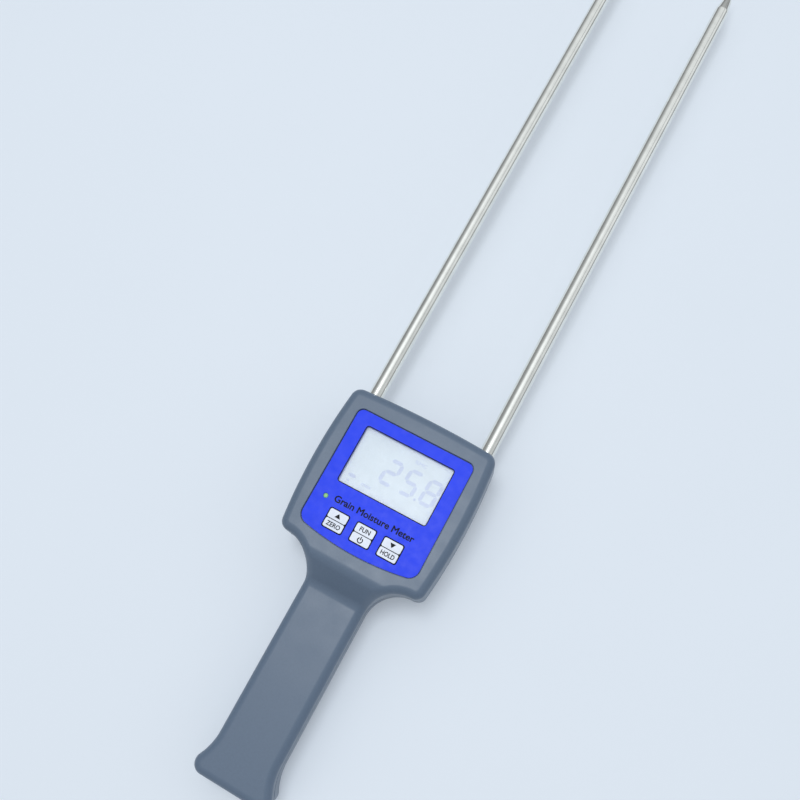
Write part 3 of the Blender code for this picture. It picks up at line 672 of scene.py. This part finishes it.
def follow_ramp(piece, fixed_below):
    shape = bmesh.new()
    shape.from_mesh(piece.data)
    for station in ramp_stations():
        bmesh.ops.bisect_plane(
            shape,
            geom=shape.verts[:] + shape.edges[:] + shape.faces[:],
            plane_co=at(0, station, 0),
            plane_no=(0, 1, 0),
        )
    for vertex in shape.verts:
        if vertex.co.z > fixed_below * MM:
            vertex.co.z -= ramp_drop(vertex.co.y / MM + LENGTH / 2) * MM
    shape.to_mesh(piece.data)
    shape.free()


def opening(outline, low, high, lip):
    """A cutter whose sides open out over its last lip, so that the edge it leaves is broken."""
    return loft("tool", [(outline(0), low), (outline(0), high - lip), (outline(-2 * lip), high + lip)])


def probe_channels(half):
    for x in (-PROBE_X, PROBE_X):
        for (start, end), radius in ((PROBE_EXIT, PROBE_CLEAR), (BUSH_SEAT, BUSH_RADIUS + GAP)):
            cut(half, rod((x, start, PARTING), (x, end, PARTING), radius))


def bush_ribs(half, low, high):
    near, far, start, end = BUSH_RIB
    for side in (-1, 1):
        inner, outer = sorted((side * near, side * far))
        join(half, block((inner, start, low), (outer, end, high)))


def front_casing():
    half = shell("casing_front", PARTING + GAP / 2, THICKNESS, FRONT_EDGE)
    follow_ramp(half, PARTING + PARTING_CHAMFER + 0.3)
    underside = RECESS_FLOOR - WALL
    low, high, top = FACE_BED
    join(half, block((*low, underside), (*high, top)))
    for x, d in CASE_SCREWS.values():
        boss_top = THICKNESS - ramp_drop(d) - WALL / 2
        join(half, rod((x, d, PARTING + GAP), (x, d, boss_top), FRONT_BOSS, 24))
    for x, d in BOARD_SCREWS:
        join(half, rod((x, d, BOARD_FRONT), (x, d, 32.6), BOARD_BOSS, 24))
    bush_ribs(half, PARTING + GAP, 33.8)

    recess = opening(lambda inset: face_outline(inset - GAP), RECESS_FLOOR, THICKNESS, RECESS_LIP)
    cut(half, recess)
    pane = rounded((0, WINDOW_MIDDLE), (PANE[0] + GAP, PANE[1] + GAP), 1.0)
    cut(half, loft("tool", [(pane(), RECESS_FLOOR - PANE_DEPTH), (pane(), RECESS_FLOOR + PAST)]))
    glass = rounded((0, WINDOW_MIDDLE), (GLASS[0] + GAP, GLASS[1] + GAP), 1.0)
    cut(half, loft("tool", [(glass(), underside - PAST), (glass(), RECESS_FLOOR)]))
    for x in KEYS.values():
        key = rounded((x, KEY_ROW), (KEY[0] + GAP, KEY[1] + GAP), KEY_CORNER)
        cut(half, loft("tool", [(key(), underside - PAST), (key(), RECESS_FLOOR + PAST)]))
    cut(half, rod((*LAMP, underside - PAST), (*LAMP, RECESS_FLOOR + PAST), LAMP_HOLES[1], 24))
    for x, d in CASE_SCREWS.values():
        cut(half, rod((x, d, PARTING - PAST), (x, d, 22), CASE_HOLE, 16))
    for x, d in BOARD_SCREWS:
        cut(half, rod((x, d, 24), (x, d, 30.5), BOARD_HOLE, 12))
    probe_channels(half)
    fit(half, "casing", "casing", "front_shell")


def rear_casing():
    half = shell("casing_back", PARTING - GAP / 2, 0.0, REAR_EDGE, REAR_DRAFT)
    inside = WALL - 0.6
    for x, d in CASE_SCREWS.values():
        join(half, rod((x, d, inside), (x, d, PARTING - GAP), REAR_BOSS, 32))
    for x, d in HOLDER_SCREWS:
        join(half, rod((x, d, inside), (x, d, 11.6), HOLDER_BOSS, 24))
    for inner, outer in ((-13.7, -6.5), (6.5, 13.7)):
        join(half, block((inner, 66.5, inside), (outer, 68, 16.5)))
    bush_ribs(half, inside, PARTING - GAP)

    for x, d in CASE_SCREWS.values():
        cut(half, rod((x, d, 2), (x, d, PARTING + PAST), CASE_HOLE, 24))
        profile = [(0, COUNTERBORE_DEPTH), (COUNTERBORE_RADIUS, COUNTERBORE_DEPTH)]
        profile += [(COUNTERBORE_RADIUS, 0.3), (COUNTERBORE_RADIUS + 0.6, -0.3), (0, -0.3)]
        cut(half, lathe("tool", profile, (x, d, 0), sides=40))
    for x, d in HOLDER_SCREWS:
        cut(half, rod((x, d, 6.5), (x, d, 13), HOLDER_HOLE, 16))
    label_half, start, end = LABEL
    middle = (0, (start + end) / 2)
    pocket = rounded(middle, (label_half + GAP, (end - start) / 2 + GAP), 1.6)
    cut(half, loft("tool", [(pocket(-0.3), -0.15), (pocket(0), 0.15), (pocket(0), 0.6)]))
    way = DOOR_HALF + GAP
    doorway = [(way + 0.4, -0.2), (way, 0.2), (way, TONGUE_LEVELS[1] + GAP)]
    door_end = DOOR_LENGTH + GAP
    sides = [([(-w, -1), (w, -1), (w, door_end + w - way), (-w, door_end + w - way)], z) for w, z in doorway]
    cut(half, loft("tool", sides))
    slot = TONGUE_HALF + GAP
    low, high = TONGUE_LEVELS[0] - GAP, TONGUE_LEVELS[1] + GAP
    cut(half, block((-slot, -PAST, low), (slot, DOOR_LENGTH + 0.1, high)))
    wide, near, far, foot, _ = BATTERY
    cut(half, block((-wide - GAP, near - GAP, foot - GAP), (wide + GAP, far + GAP, PARTING)))
    probe_channels(half)
    fit(half, "casing", "casing", "rear_shell")


def screw(name, profile, place):
    """A turned screw with its head down and a cross recess in it."""
    made = lathe(name, profile, place, PLATED, sides=40)
    radius = max(r for r, _ in profile)
    head_height = profile[-1][1]
    for turn in (0, 90):
        shape = bmesh.new()
        rows = ((0.15, radius * 0.62, radius * 0.15), (-1.0, radius * 0.2, radius * 0.09))
        signs = ((-1, -1), (1, -1), (1, 1), (-1, 1))
        rings = [[(sx * reach, sy * half, z) for sx, sy in signs] for z, reach, half in rows]
        skin(shape, [[shape.verts.new(corner) for corner in ring] for ring in rings])
        flip = Matrix.Rotation(math.pi, 4, "X")
        spin = Matrix.Rotation(math.radians(turn + 31), 4, "Z")
        head = Matrix.Translation((0, 0, head_height))
        shape.transform(Matrix.Translation(at(*place)) @ Matrix.Scale(MM, 4) @ head @ flip @ spin)
        cut(made, add("tool", mesh_from("tool", shape)))
    fit(made, "casing", "plated_steel", name)


def screws():
    head_top = COUNTERBORE_DEPTH - GAP
    case = [(0, 15.3), (0.6, 15.3), (1.45, 14.0), (1.45, 0), (2.4, 0), (2.6, -0.2), (2.6, -0.95)]
    case += [(2.5, -1.25), (2.2, -1.55), (1.75, -1.75), (1.2, -1.8), (0, -1.8)]
    for name, (x, d) in CASE_SCREWS.items():
        screw(f"case_screw_{name}", case, (x, d, head_top))


# Rear label and battery door


def rear_label():
    half, start, end = LABEL
    middle = (0, (start + end) / 2)
    size = (half, (end - start) / 2)
    label = plate("rear_label_plate", rounded(middle, size, 1.4), 0.08, 0.3, 0.05, LABEL_SILVER)
    fit(label, "casing", "label", "rear_label")
    outer, inner = (half - 1.2, size[1] - 1.2), (half - 1.5, size[1] - 1.5)
    border = plate("rear_label_border", rounded(middle, outer, 1.0), 0.05, 0.08, 0, LABEL_INK)
    cut(border, plate("tool", rounded(middle, inner, 0.8), -1, 1))
    fit(border, "casing", "label")


def battery_door():
    """The sliding door: flush with the back, rounded over the grip's end, with thumb grooves and an arrow."""
    low, high = TONGUE_LEVELS
    start = math.tan(REAR_DRAFT) * (PARTING - GAP / 2 - REAR_EDGE)
    turns = [math.radians(90 * step / 8) for step in range(9)]
    profile = [(start + REAR_EDGE * (1 - math.cos(t)), REAR_EDGE * (1 - math.sin(t))) for t in turns]
    shape = bmesh.new()
    chamfer = 0.2
    rings = []
    level = DOOR_HALF - chamfer
    for x, inset in ((-DOOR_HALF, chamfer), (-level, 0), (level, 0), (DOOR_HALF, chamfer)):
        ring = [(d, z + inset * (1 - min(1, z / REAR_EDGE))) for d, z in profile]
        ring += [(DOOR_LENGTH - chamfer, inset), (DOOR_LENGTH, chamfer + inset)]
        ring += [(DOOR_LENGTH, high), (start, high)]
        rings.append([shape.verts.new(at(x, d, z)) for d, z in ring])
    skin(shape, rings)
    bmesh.ops.remove_doubles(shape, verts=shape.verts, dist=1e-6)
    door = add("battery_door_cover", mesh_from("battery_door_cover", shape), CASING)
    join(door, block((-TONGUE_HALF, start + 0.4, low), (TONGUE_HALF, DOOR_LENGTH - 0.2, high - 0.1)))
    for ridge in range(5):
        middle = 44.6 + 2.4 * ridge
        groove = rounded((0, middle), (7, 0.6), 0.58)
        cut(door, loft("tool", [(groove(-0.2), -0.2), (groove(0.1), 0.3), (groove(0.35), 0.5)]))
    arrow = [(-2.2, 36.2), (0, 33.4), (2.2, 36.2), (0.8, 36.2), (0.8, 39.6), (-0.8, 39.6), (-0.8, 36.2)]
    cut(door, loft("tool", [(arrow, -0.5), (arrow, 0.35)]))
    fit(door, "battery_door", "casing", "battery_door")


# Face, display and keys


def membrane():
    face = plate("membrane_face", face_outline, RECESS_FLOOR + GAP, FACE_SURFACE, 0.07, FACE_BLUE)
    below, above = THROUGH_FACE
    window = rounded((0, WINDOW_MIDDLE), WINDOW, 1.0)
    cut(face, loft("tool", [(window(), below), (window(), above)]))
    for x in KEYS.values():
        key = rounded((x, KEY_ROW), (KEY[0] + KEY_SLOT, KEY[1] + KEY_SLOT), KEY_CORNER + KEY_SLOT)
        cut(face, loft("tool", [(key(), below), (key(), above)]))
    cut(face, rod((*LAMP, below), (*LAMP, above), LAMP_HOLES[0], 32))
    fit(face, "casing", "face_film", "face_overlay")

    outer = [size + WINDOW_BORDER for size in WINDOW]
    outer = rounded((0, WINDOW_MIDDLE), outer, 1.4)
    border = plate("window_border", outer, FACE_SURFACE, FACE_SURFACE + PRINT, 0, INK)
    cut(border, loft("tool", [(window(-0.001), below), (window(-0.001), above)]))
    fit(border, "casing", "face_film")
    title = lettering("face_title", "Grain Moisture Meter", *TITLE, FACE_SURFACE)
    fit(title, "casing", "face_film")


def glyph_outlines(text):
    """The outlines of a word in the plain built-in face, as lists of points in letter heights."""
    curve = bpy.data.curves.new("guide", "FONT")
    curve.body = text
    guide = add("guide", curve)
    graph = bpy.context.evaluated_depsgraph_get()
    splines = guide.evaluated_get(graph).to_curve(graph).splines
    outlines = []
    for spline in splines:
        knots = spline.bezier_points
        outline = []
        for near, far in zip(knots, [*knots[1:], knots[0]]):
            bend = near.co, near.handle_right, far.handle_left, far.co
            outline += [point.xy for point in interpolate_bezier(*bend, 6)[:-1]]
        outlines.append(spaced(outline, 0.006))
    bpy.data.objects.remove(guide)
    return outlines


def spaced(outline, least):
    """The outline without points that lie closer than least to the one before."""
    kept = [outline[0]]
    for point in outline[1:]:
        if (point - kept[-1]).length > least:
            kept.append(point)
    if (kept[0] - kept[-1]).length < least:
        kept.pop()
    straight = []
    for before, point, after in zip([kept[-1], *kept[:-1]], kept, [*kept[1:], kept[0]]):
        turn = (point - before).normalized().cross((after - point).normalized())
        if abs(turn) > 0.01:
            straight.append(point)
    return straight


def thickened(outline, by):
    """The outline moved out by an even amount, with its sharp points kept short. Holes close up instead."""
    moved = []
    for before, point, after in zip([outline[-1], *outline[:-1]], outline, [*outline[1:], outline[0]]):
        first, second = (point - before).normalized(), (after - point).normalized()
        normal = Vector((first.y + second.y, -first.x - second.x))
        if normal.length < 0.2:
            normal = Vector((first.y, -first.x))
        normal.normalize()
        reach = min(1 / max(normal.dot(Vector((first.y, -first.x))), 0.2), 2.2)
        moved.append(point + normal * by * reach)
    return moved


def untangled(outline):
    """The outline without the small loops that moving it out leaves at its inner corners."""
    count = len(outline)
    for i in range(count):
        for step in range(min(10, count - 2), 1, -1):
            ends = [outline[k % count] for k in (i, i + 1, i + step, i + step + 1)]
            crossing = intersect_line_line_2d(*ends)
            if crossing:
                rest = [outline[k % count] for k in range(i + step + 1, i + count + 1)]
                return untangled([*rest, crossing])
    return outline


def lettering(name, text, middle, width, height, bold, surface, material=INK, thickness=PRINT):
    """A printed word about a middle point, of a given width and letter height, a hair proud of a surface."""
    outlines = glyph_outlines(text)
    xs = [point.x for outline in outlines for point in outline]
    scale_x = (width - 2 * bold) / (max(xs) - min(xs))
    scale_y = (height - 2 * bold) / CAP_HEIGHT
    centre = Vector(((max(xs) + min(xs)) / 2, CAP_HEIGHT / 2))
    curve = bpy.data.curves.new(name, "CURVE")
    curve.dimensions = "2D"
    curve.fill_mode = "BOTH"
    curve.extrude = thickness / 2 * MM
    for outline in outlines:
        outline = [Vector(((p.x - centre.x) * scale_x, (p.y - centre.y) * scale_y)) for p in outline]
        outline = untangled(thickened(outline, bold))
        spline = curve.splines.new("POLY")
        spline.points.add(len(outline) - 1)
        spline.use_cyclic_u = True
        for point, place in zip(spline.points, outline):
            point.co = (*at(middle[0] + place.x, middle[1] + place.y, 0).xy, 0, 1)
    guide = add("guide", curve)
    graph = bpy.context.evaluated_depsgraph_get()
    mesh = bpy.data.meshes.new_from_object(guide.evaluated_get(graph))
    bpy.data.objects.remove(guide)
    shape = bmesh.new()
    shape.from_mesh(mesh)
    bmesh.ops.remove_doubles(shape, verts=shape.verts, dist=1e-7)
    bmesh.ops.translate(shape, verts=shape.verts, vec=(0, 0, (surface + thickness / 2) * MM))
    shape.to_mesh(mesh)
    shape.free()
    mesh.name = name
    return add(name, mesh, material)


def key_cell(name, x, low, high, material):
    """One of a key's two printed cells. low and high are its ends along d."""
    middle = (x, (low + high) / 2)
    cell = rounded(middle, (KEY[0] - CELL_BORDER[0], (high - low) / 2), CELL_CORNER)
    return plate(name, cell, KEY_TOP - 0.12, KEY_TOP, 0.04, material)


def flat_mark(name, outlines, surface, material, thickness=PRINT):
    """Flat printed shapes, each an outline of (x, d) points, as one piece."""
    shape = bmesh.new()
    for outline in outlines:
        levels = surface, surface + thickness
        skin(shape, [[shape.verts.new(at(x, d, z)) for x, d in outline] for z in levels])
    return add(name, mesh_from(name, shape), material)


def power_mark(x, d, radius):
    """A ring that is open at the top and a bar through the gap."""
    outer = list(arc((x, d), radius, 125, 415, 24))
    inner = list(arc((x, d), radius - MARK_LINE, 415, 125, 24))
    half, top = MARK_LINE / 2, d + radius + 0.3
    bar = [(x - half, d + 0.1), (x + half, d + 0.1), (x + half, top), (x - half, top)]
    return [outer + inner, bar]


def keys():
    triangle = [(-KEY_MARK, -0.95), (KEY_MARK, -0.95), (0, 1.15)]
    flange_top = RECESS_FLOOR - WALL - GAP
    middle, end = CELL_GAP, KEY[1] - CELL_BORDER[1]
    for name, x in KEYS.items():
        body = f"{name}_key"
        pad = plate(f"key_{name}_pad", rounded((x, KEY_ROW), KEY, KEY_CORNER), 31.0, KEY_TOP - 0.1, 0.08, INK)
        flange = rounded((x, KEY_ROW), (KEY[0] + KEY_FLANGE, KEY[1] + KEY_FLANGE), KEY_CORNER)
        join(pad, plate("tool", flange, flange_top - 0.9, flange_top))
        fit(pad, body, "key_pad", f"key_{name}")
        rows = ((KEY_ROW + middle, KEY_ROW + end), (KEY_ROW - end, KEY_ROW - middle))
        for part, (low, high) in zip(("upper", "lower"), rows):
            fit(key_cell(f"key_{name}_{part}_cell", x, low, high, KEY_WHITE), body, "key_pad")
        upper, lower = (sum(row) / 2 for row in rows)
        if name == "power":
            text, place = "FUN", (x, upper)
            shapes = power_mark(x, lower - 0.2, KEY_MARK)
        else:
            text, place = name.upper(), (x, lower)
            side = 1 if name == "zero" else -1
            shapes = [[(x + px, upper + side * pd) for px, pd in triangle][::side]]
        size = KEY_WORD_WIDTHS[name], KEY_WORD_HEIGHT, KEY_WORD_BOLD
        fit(lettering(f"key_{name}_word", text, place, *size, KEY_TOP), body, "key_pad")
        fit(flat_mark(f"key_{name}_mark", shapes, KEY_TOP, INK), body, "key_pad")


SEGMENTS = {"2": "abged", "5": "afgcd", "8": "abcdefg"}
READING = (("2", -6.7), ("5", 3.2), ("8", 13.0))
READING_FOOT = 141.6
DIGIT = (7.3, 12.6)
BAR = 1.7
BAR_GAP = 0.16
SLANT = 0.075


def digit_bars(character, x, d):
    """The lit bars of a seven-bar digit whose lower left corner is at (x, d), as outlines."""
    width, height = DIGIT
    half = BAR / 2
    left, right = half, width - half
    rows = {"a": height - half, "g": height / 2, "d": half}
    outlines = []
    for bar in SEGMENTS[character]:
        if bar in rows:
            y = rows[bar]
            low, high = left + BAR_GAP, right - BAR_GAP
            points = [(low, y), (low + half, y + half), (high - half, y + half)]
            points += [(high, y), (high - half, y - half), (low + half, y - half)]
            points = points[::-1]
        else:
            side = left if bar in "fe" else right
            low, high = (height / 2, height - half) if bar in "fb" else (half, height / 2)
            low, high = low + BAR_GAP, high - BAR_GAP
            points = [(side, low), (side + half, low + half), (side + half, high - half)]
            points += [(side, high), (side - half, high - half), (side - half, low + half)]
        outlines.append([(x + px + SLANT * py, d + py) for px, py in points])
    return outlines


def display():
    """The display: two sheets of glass, the polariser on them, and the reading."""
    middle, (half, tall) = WINDOW_MIDDLE, GLASS
    top = RECESS_FLOOR - 0.6 - GAP
    foot, seam, ink = top - 2.6, top - 1.35, 0.03
    outline = rounded((0, middle), (half, tall), 0.15, 2)
    lower = plate("display_lower_glass", outline, foot, seam, 0.1, LCD_GLASS)
    fit(lower, "casing", "display", "display_glass")
    upper_middle = (0, middle + 0.9)
    outline = rounded(upper_middle, (half, tall - 0.9), 0.15, 2)
    fit(plate("display_upper_glass", outline, seam, top - 0.2, 0.1, LCD_GLASS), "casing", "display")
    outline = rounded(upper_middle, (half - 0.4, tall - 1.3), 0.4)
    # This sheet carries the polariser's painted glow
    sheet = plate("display_polariser_painted_glow", outline, top - 0.2, top - ink, 0, POLARISER_PAINTED_GLOW)
    fit(sheet, "casing", "display")

    reading = []
    for character, x in READING:
        reading += digit_bars(character, x, READING_FOOT)
    reading.append(list(arc((12.0, 142.3), 0.62, 0, 345, 23)))
    reading.append([(-18.6, 136.0), (-17.3, 136.0), (-17.95, 137.3)])
    ring = list(arc((0, 0), 1, 0, 350, 35))
    reading.append([(-17.3 + 1.9 * c, 139.0 + 0.85 * s) for c, s in ring])
    fit(flat_mark("display_reading", reading, top - ink, SEGMENT, ink), "casing", "display")
    words = ("display_unit", "%MC", (7.3, 157.4), 5.8), ("display_mode", "max", (-9.5, 137.9), 4.8)
    for word in words:
        fit(lettering(*word, 1.7, 0.05, top - ink, SEGMENT, ink), "casing", "display")


def lamp():
    wide, narrow = LAMP_FOOT
    tip = FACE_SURFACE - BOARD_FRONT
    turns = [math.radians(angle) for angle in range(0, 91, 15)]
    dome = [(LAMP_RADIUS * math.sin(t), tip - 0.4 + 0.35 * math.cos(t)) for t in turns]
    body = [(LAMP_RADIUS, tip - 0.95), (narrow, tip - 1.35), (narrow, 1.0), (wide, 1.0), (wide, 0), (0, 0)]
    made = lathe("lamp_dome", dome + body, (*LAMP, BOARD_FRONT), LAMP_GREEN, sides=32)
    fit(made, "casing", "lamp", "indicator_lamp")


# Probes


def probe(name, side):
    """A polished tube with a long ground point."""
    length = LENGTH - PROBE_START
    shoulder = length - PROBE_TAPER
    cone = [(0, length), (0.22, length - 0.08), (0.35, length - 0.3)]
    cone += [(PROBE_RADIUS - 0.12, shoulder), (PROBE_RADIUS - 0.02, shoulder - 0.5)]
    profile = [*cone, (PROBE_RADIUS, shoulder - 1.2), (PROBE_RADIUS, 0.3), (PROBE_RADIUS - 0.3, 0)]
    profile += [(2.6, 0), (2.6, shoulder - 4), (0, shoulder - 4)]
    made = lathe(f"{name}_rod", profile, (side * PROBE_X, PROBE_START, PARTING), STEEL, 72, along_d=True)
    fit(made, "casing", "probe_steel", name)


# Battery


def battery():
    half, start, end, low, high = BATTERY
    middle = (0, (start + end) / 2)
    section = rounded((0, (low + high) / 2), (half, (high - low) / 2), 2.2)
    shape = bmesh.new()
    # How deep and how far in each ring lies, from the flat end over a groove and a rolled rim to the side
    rim = ((0.0, 1.6), (0.15, 1.0), (0.0, 0.7), (0.15, 0.25), (0.6, 0.05), (1.4, 0.0))
    ends = [(start + depth, inset) for depth, inset in rim]
    ends += [(end - depth, inset) for depth, inset in reversed(rim)]
    skin(shape, [[shape.verts.new(at(x, d, z)) for x, z in section(inset)] for d, inset in ends])
    case = add("battery_case", mesh_from("battery_case", shape), JACKET)
    fit(case, "casing", "battery_jacket", "battery")


def foam():
    low, high = [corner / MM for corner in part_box("battery_foam")]
    half, tall = high.x, (high.y - low.y) / 2
    middle = (0, (high.y + low.y) / 2 + LENGTH / 2)
    pad = plate("battery_foam_pad", rounded(middle, (half, tall), 0.6), low.z, high.z, 0.35, FOAM)
    fit(pad, "casing", "foam", "battery_foam")


# The CAD nodes that stay


STAYING = {
    CLEAR: ("window_pane",),
    BLACK_PLASTIC: (
        "controller_chip",
        "amplifier_chip",
        "filter_capacitor",
        "snap_connector",
        "probe_holder",
    ),
    WHITE_PLASTIC: ("display_frame", "battery_plug"),
    ELASTOMER: ("contact_strip_lower", "contact_strip_upper"),
    BOARD_GREEN: ("main_board",),
    PLATED: ("crystal_can", "battery_stud", "battery_socket", "holder_screw_left", "holder_screw_right"),
    BRASS: ("probe_lug_left", "probe_lug_right"),
    RED_LEAD: ("battery_lead_red", "probe_lead_right"),
    BLACK_LEAD: ("battery_lead_black", "probe_lead_left"),
}


def dress(material, *names):
    for name in names:
        slots = NODES[name].data.materials
        slots.clear()
        slots.append(material)


def dress_nodes():
    for material, names in STAYING.items():
        dress(material, *names)
    for side in ("left", "right"):
        dress(PLATED, f"probe_nut_front_{side}", f"probe_nut_rear_{side}")
        dress(BLACK_PLASTIC, f"probe_bush_{side}")
    for name in KEYS:
        dress(BLACK_PLASTIC, f"switch_body_{name}")
        dress(WHITE_PLASTIC, f"switch_plunger_{name}")
    dress(PLATED, *[f"board_screw_{number}" for number in range(1, 5)])


# Studio


CAMERA_PLACE = (0.06353, -0.14211, 0.43443)
CAMERA_TARGET = (-0.02152, -0.04365, 0.0)
CAMERA_ROLL = math.radians(-12.692)
LENS = 42.16
SENSOR = 36.0
FLOOR_HALF = 6
LIGHT_DIRECTION = (-0.095, 0.02, 0.99)
LIGHT_DISTANCE = 1.6
LIGHT_SIZE = 0.5
LIGHT_WATTS = 7.0
LIGHT_COLOR = (0.97, 0.99, 1.0)


def camera():
    data = bpy.data.cameras.new("camera")
    data.lens = LENS
    data.sensor_width = SENSOR
    made = add("camera", data)
    made.location = CAMERA_PLACE
    forward = Vector(CAMERA_TARGET) - Vector(CAMERA_PLACE)
    turn = forward.to_track_quat("-Z", "Y").to_matrix().to_4x4()
    turn = turn @ Matrix.Rotation(CAMERA_ROLL, 4, "Z")
    made.rotation_euler = turn.to_euler()
    bpy.context.scene.camera = made


def key_light():
    """A soft disc of light nearly overhead."""
    data = bpy.data.lights.new("key_light", "AREA")
    data.shape = "DISK"
    data.size = LIGHT_SIZE
    data.energy = LIGHT_WATTS
    data.color = LIGHT_COLOR
    made = add("key_light", data)
    toward = Vector(LIGHT_DIRECTION).normalized()
    made.location = toward * LIGHT_DISTANCE
    made.rotation_euler = toward.to_track_quat("Z", "Y").to_euler()


def floor():
    shape = bmesh.new()
    bmesh.ops.create_grid(shape, x_segments=8, y_segments=8, size=FLOOR_HALF)
    made = add("floor", mesh_from("floor", shape))
    glow = {"Emission_Color": (0.745, 0.81, 0.885, 1), "Emission_Strength": 0.27}
    look = Finish("floor_paper", (204, 211, 219), 0.7, **glow)
    look.tint(look.noise(240, 2), 0.99, 1.0)
    look.rough(look.noise(90, 3), 0.65, 0.75)
    look.bump(look.noise(0.6, 3), 0.008)
    made.data.materials.append(look.material)


SKY = (0.92, 0.96, 1.0)
SKY_STRENGTH = 0.86
LEAST_LIGHT = 0.28
SHADES = (
    # Each is a direction, whether its opposite counts the same, a range of the cosine to it,
    # and the light added at the two ends of that range
    ((-1.0, 0.0, 0.0), False, (0.2, 0.85), (0.0, -0.52)),
    ((0.0, 1.0, 0.0), False, (0.72, 0.88), (0.0, -0.42)),
    ((0.832, 0.0, -0.555), True, (0.02, 0.05), (-0.6, 0.0)),
    ((0.0, 0.0, 1.0), True, (0.1, 0.32), (-0.62, 0.0)),
    ((0.62, -0.66, 0.42), False, (0.3, 0.95), (0.0, -0.5)),
    ((-0.16, 0.02, 0.987), False, (0.8, 0.985), (0.0, 0.3)),
)


def world():
    """Light from all of the sky, brightest overhead, dim low down and on the left, with a dark seam."""
    made = bpy.data.worlds.new("studio")
    bpy.context.scene.world = made
    made.use_nodes = True
    tree = made.node_tree

    def maths(operation, first, second=None):
        step = tree.nodes.new("ShaderNodeMath")
        step.operation = operation
        tree.links.new(first, step.inputs[0])
        if isinstance(second, float):
            step.inputs[1].default_value = second
        elif second:
            tree.links.new(second, step.inputs[1])
        return step.outputs["Value"]

    background = tree.nodes["Background"]
    background.inputs["Color"].default_value = (*SKY, 1)
    coords = tree.nodes.new("ShaderNodeTexCoord")
    total = SKY_STRENGTH
    for direction, both, (start, end), (start_light, end_light) in SHADES:
        facing = tree.nodes.new("ShaderNodeVectorMath")
        facing.operation = "DOT_PRODUCT"
        facing.inputs[1].default_value = Vector(direction).normalized()
        tree.links.new(coords.outputs["Generated"], facing.inputs[0])
        cosine = facing.outputs["Value"]
        ranged = tree.nodes.new("ShaderNodeMapRange")
        ranged.interpolation_type = "SMOOTHSTEP"
        values = ("From Min", start), ("From Max", end), ("To Min", start_light), ("To Max", end_light)
        for socket, value in values:
            ranged.inputs[socket].default_value = value
        tree.links.new(maths("ABSOLUTE", cosine) if both else cosine, ranged.inputs["Value"])
        total = maths("ADD", ranged.outputs["Result"], total)
    tree.links.new(maths("MAXIMUM", total, LEAST_LIGHT), background.inputs["Strength"])


def studio():
    bpy.context.scene.view_settings.view_transform = "Standard"
    camera()
    floor()
    world()
    key_light()


front_casing()
rear_casing()
screws()
rear_label()
battery_door()
membrane()
keys()
display()
lamp()
probe("probe_left", -1)
probe("probe_right", 1)
battery()
foam()
dress_nodes()
studio()
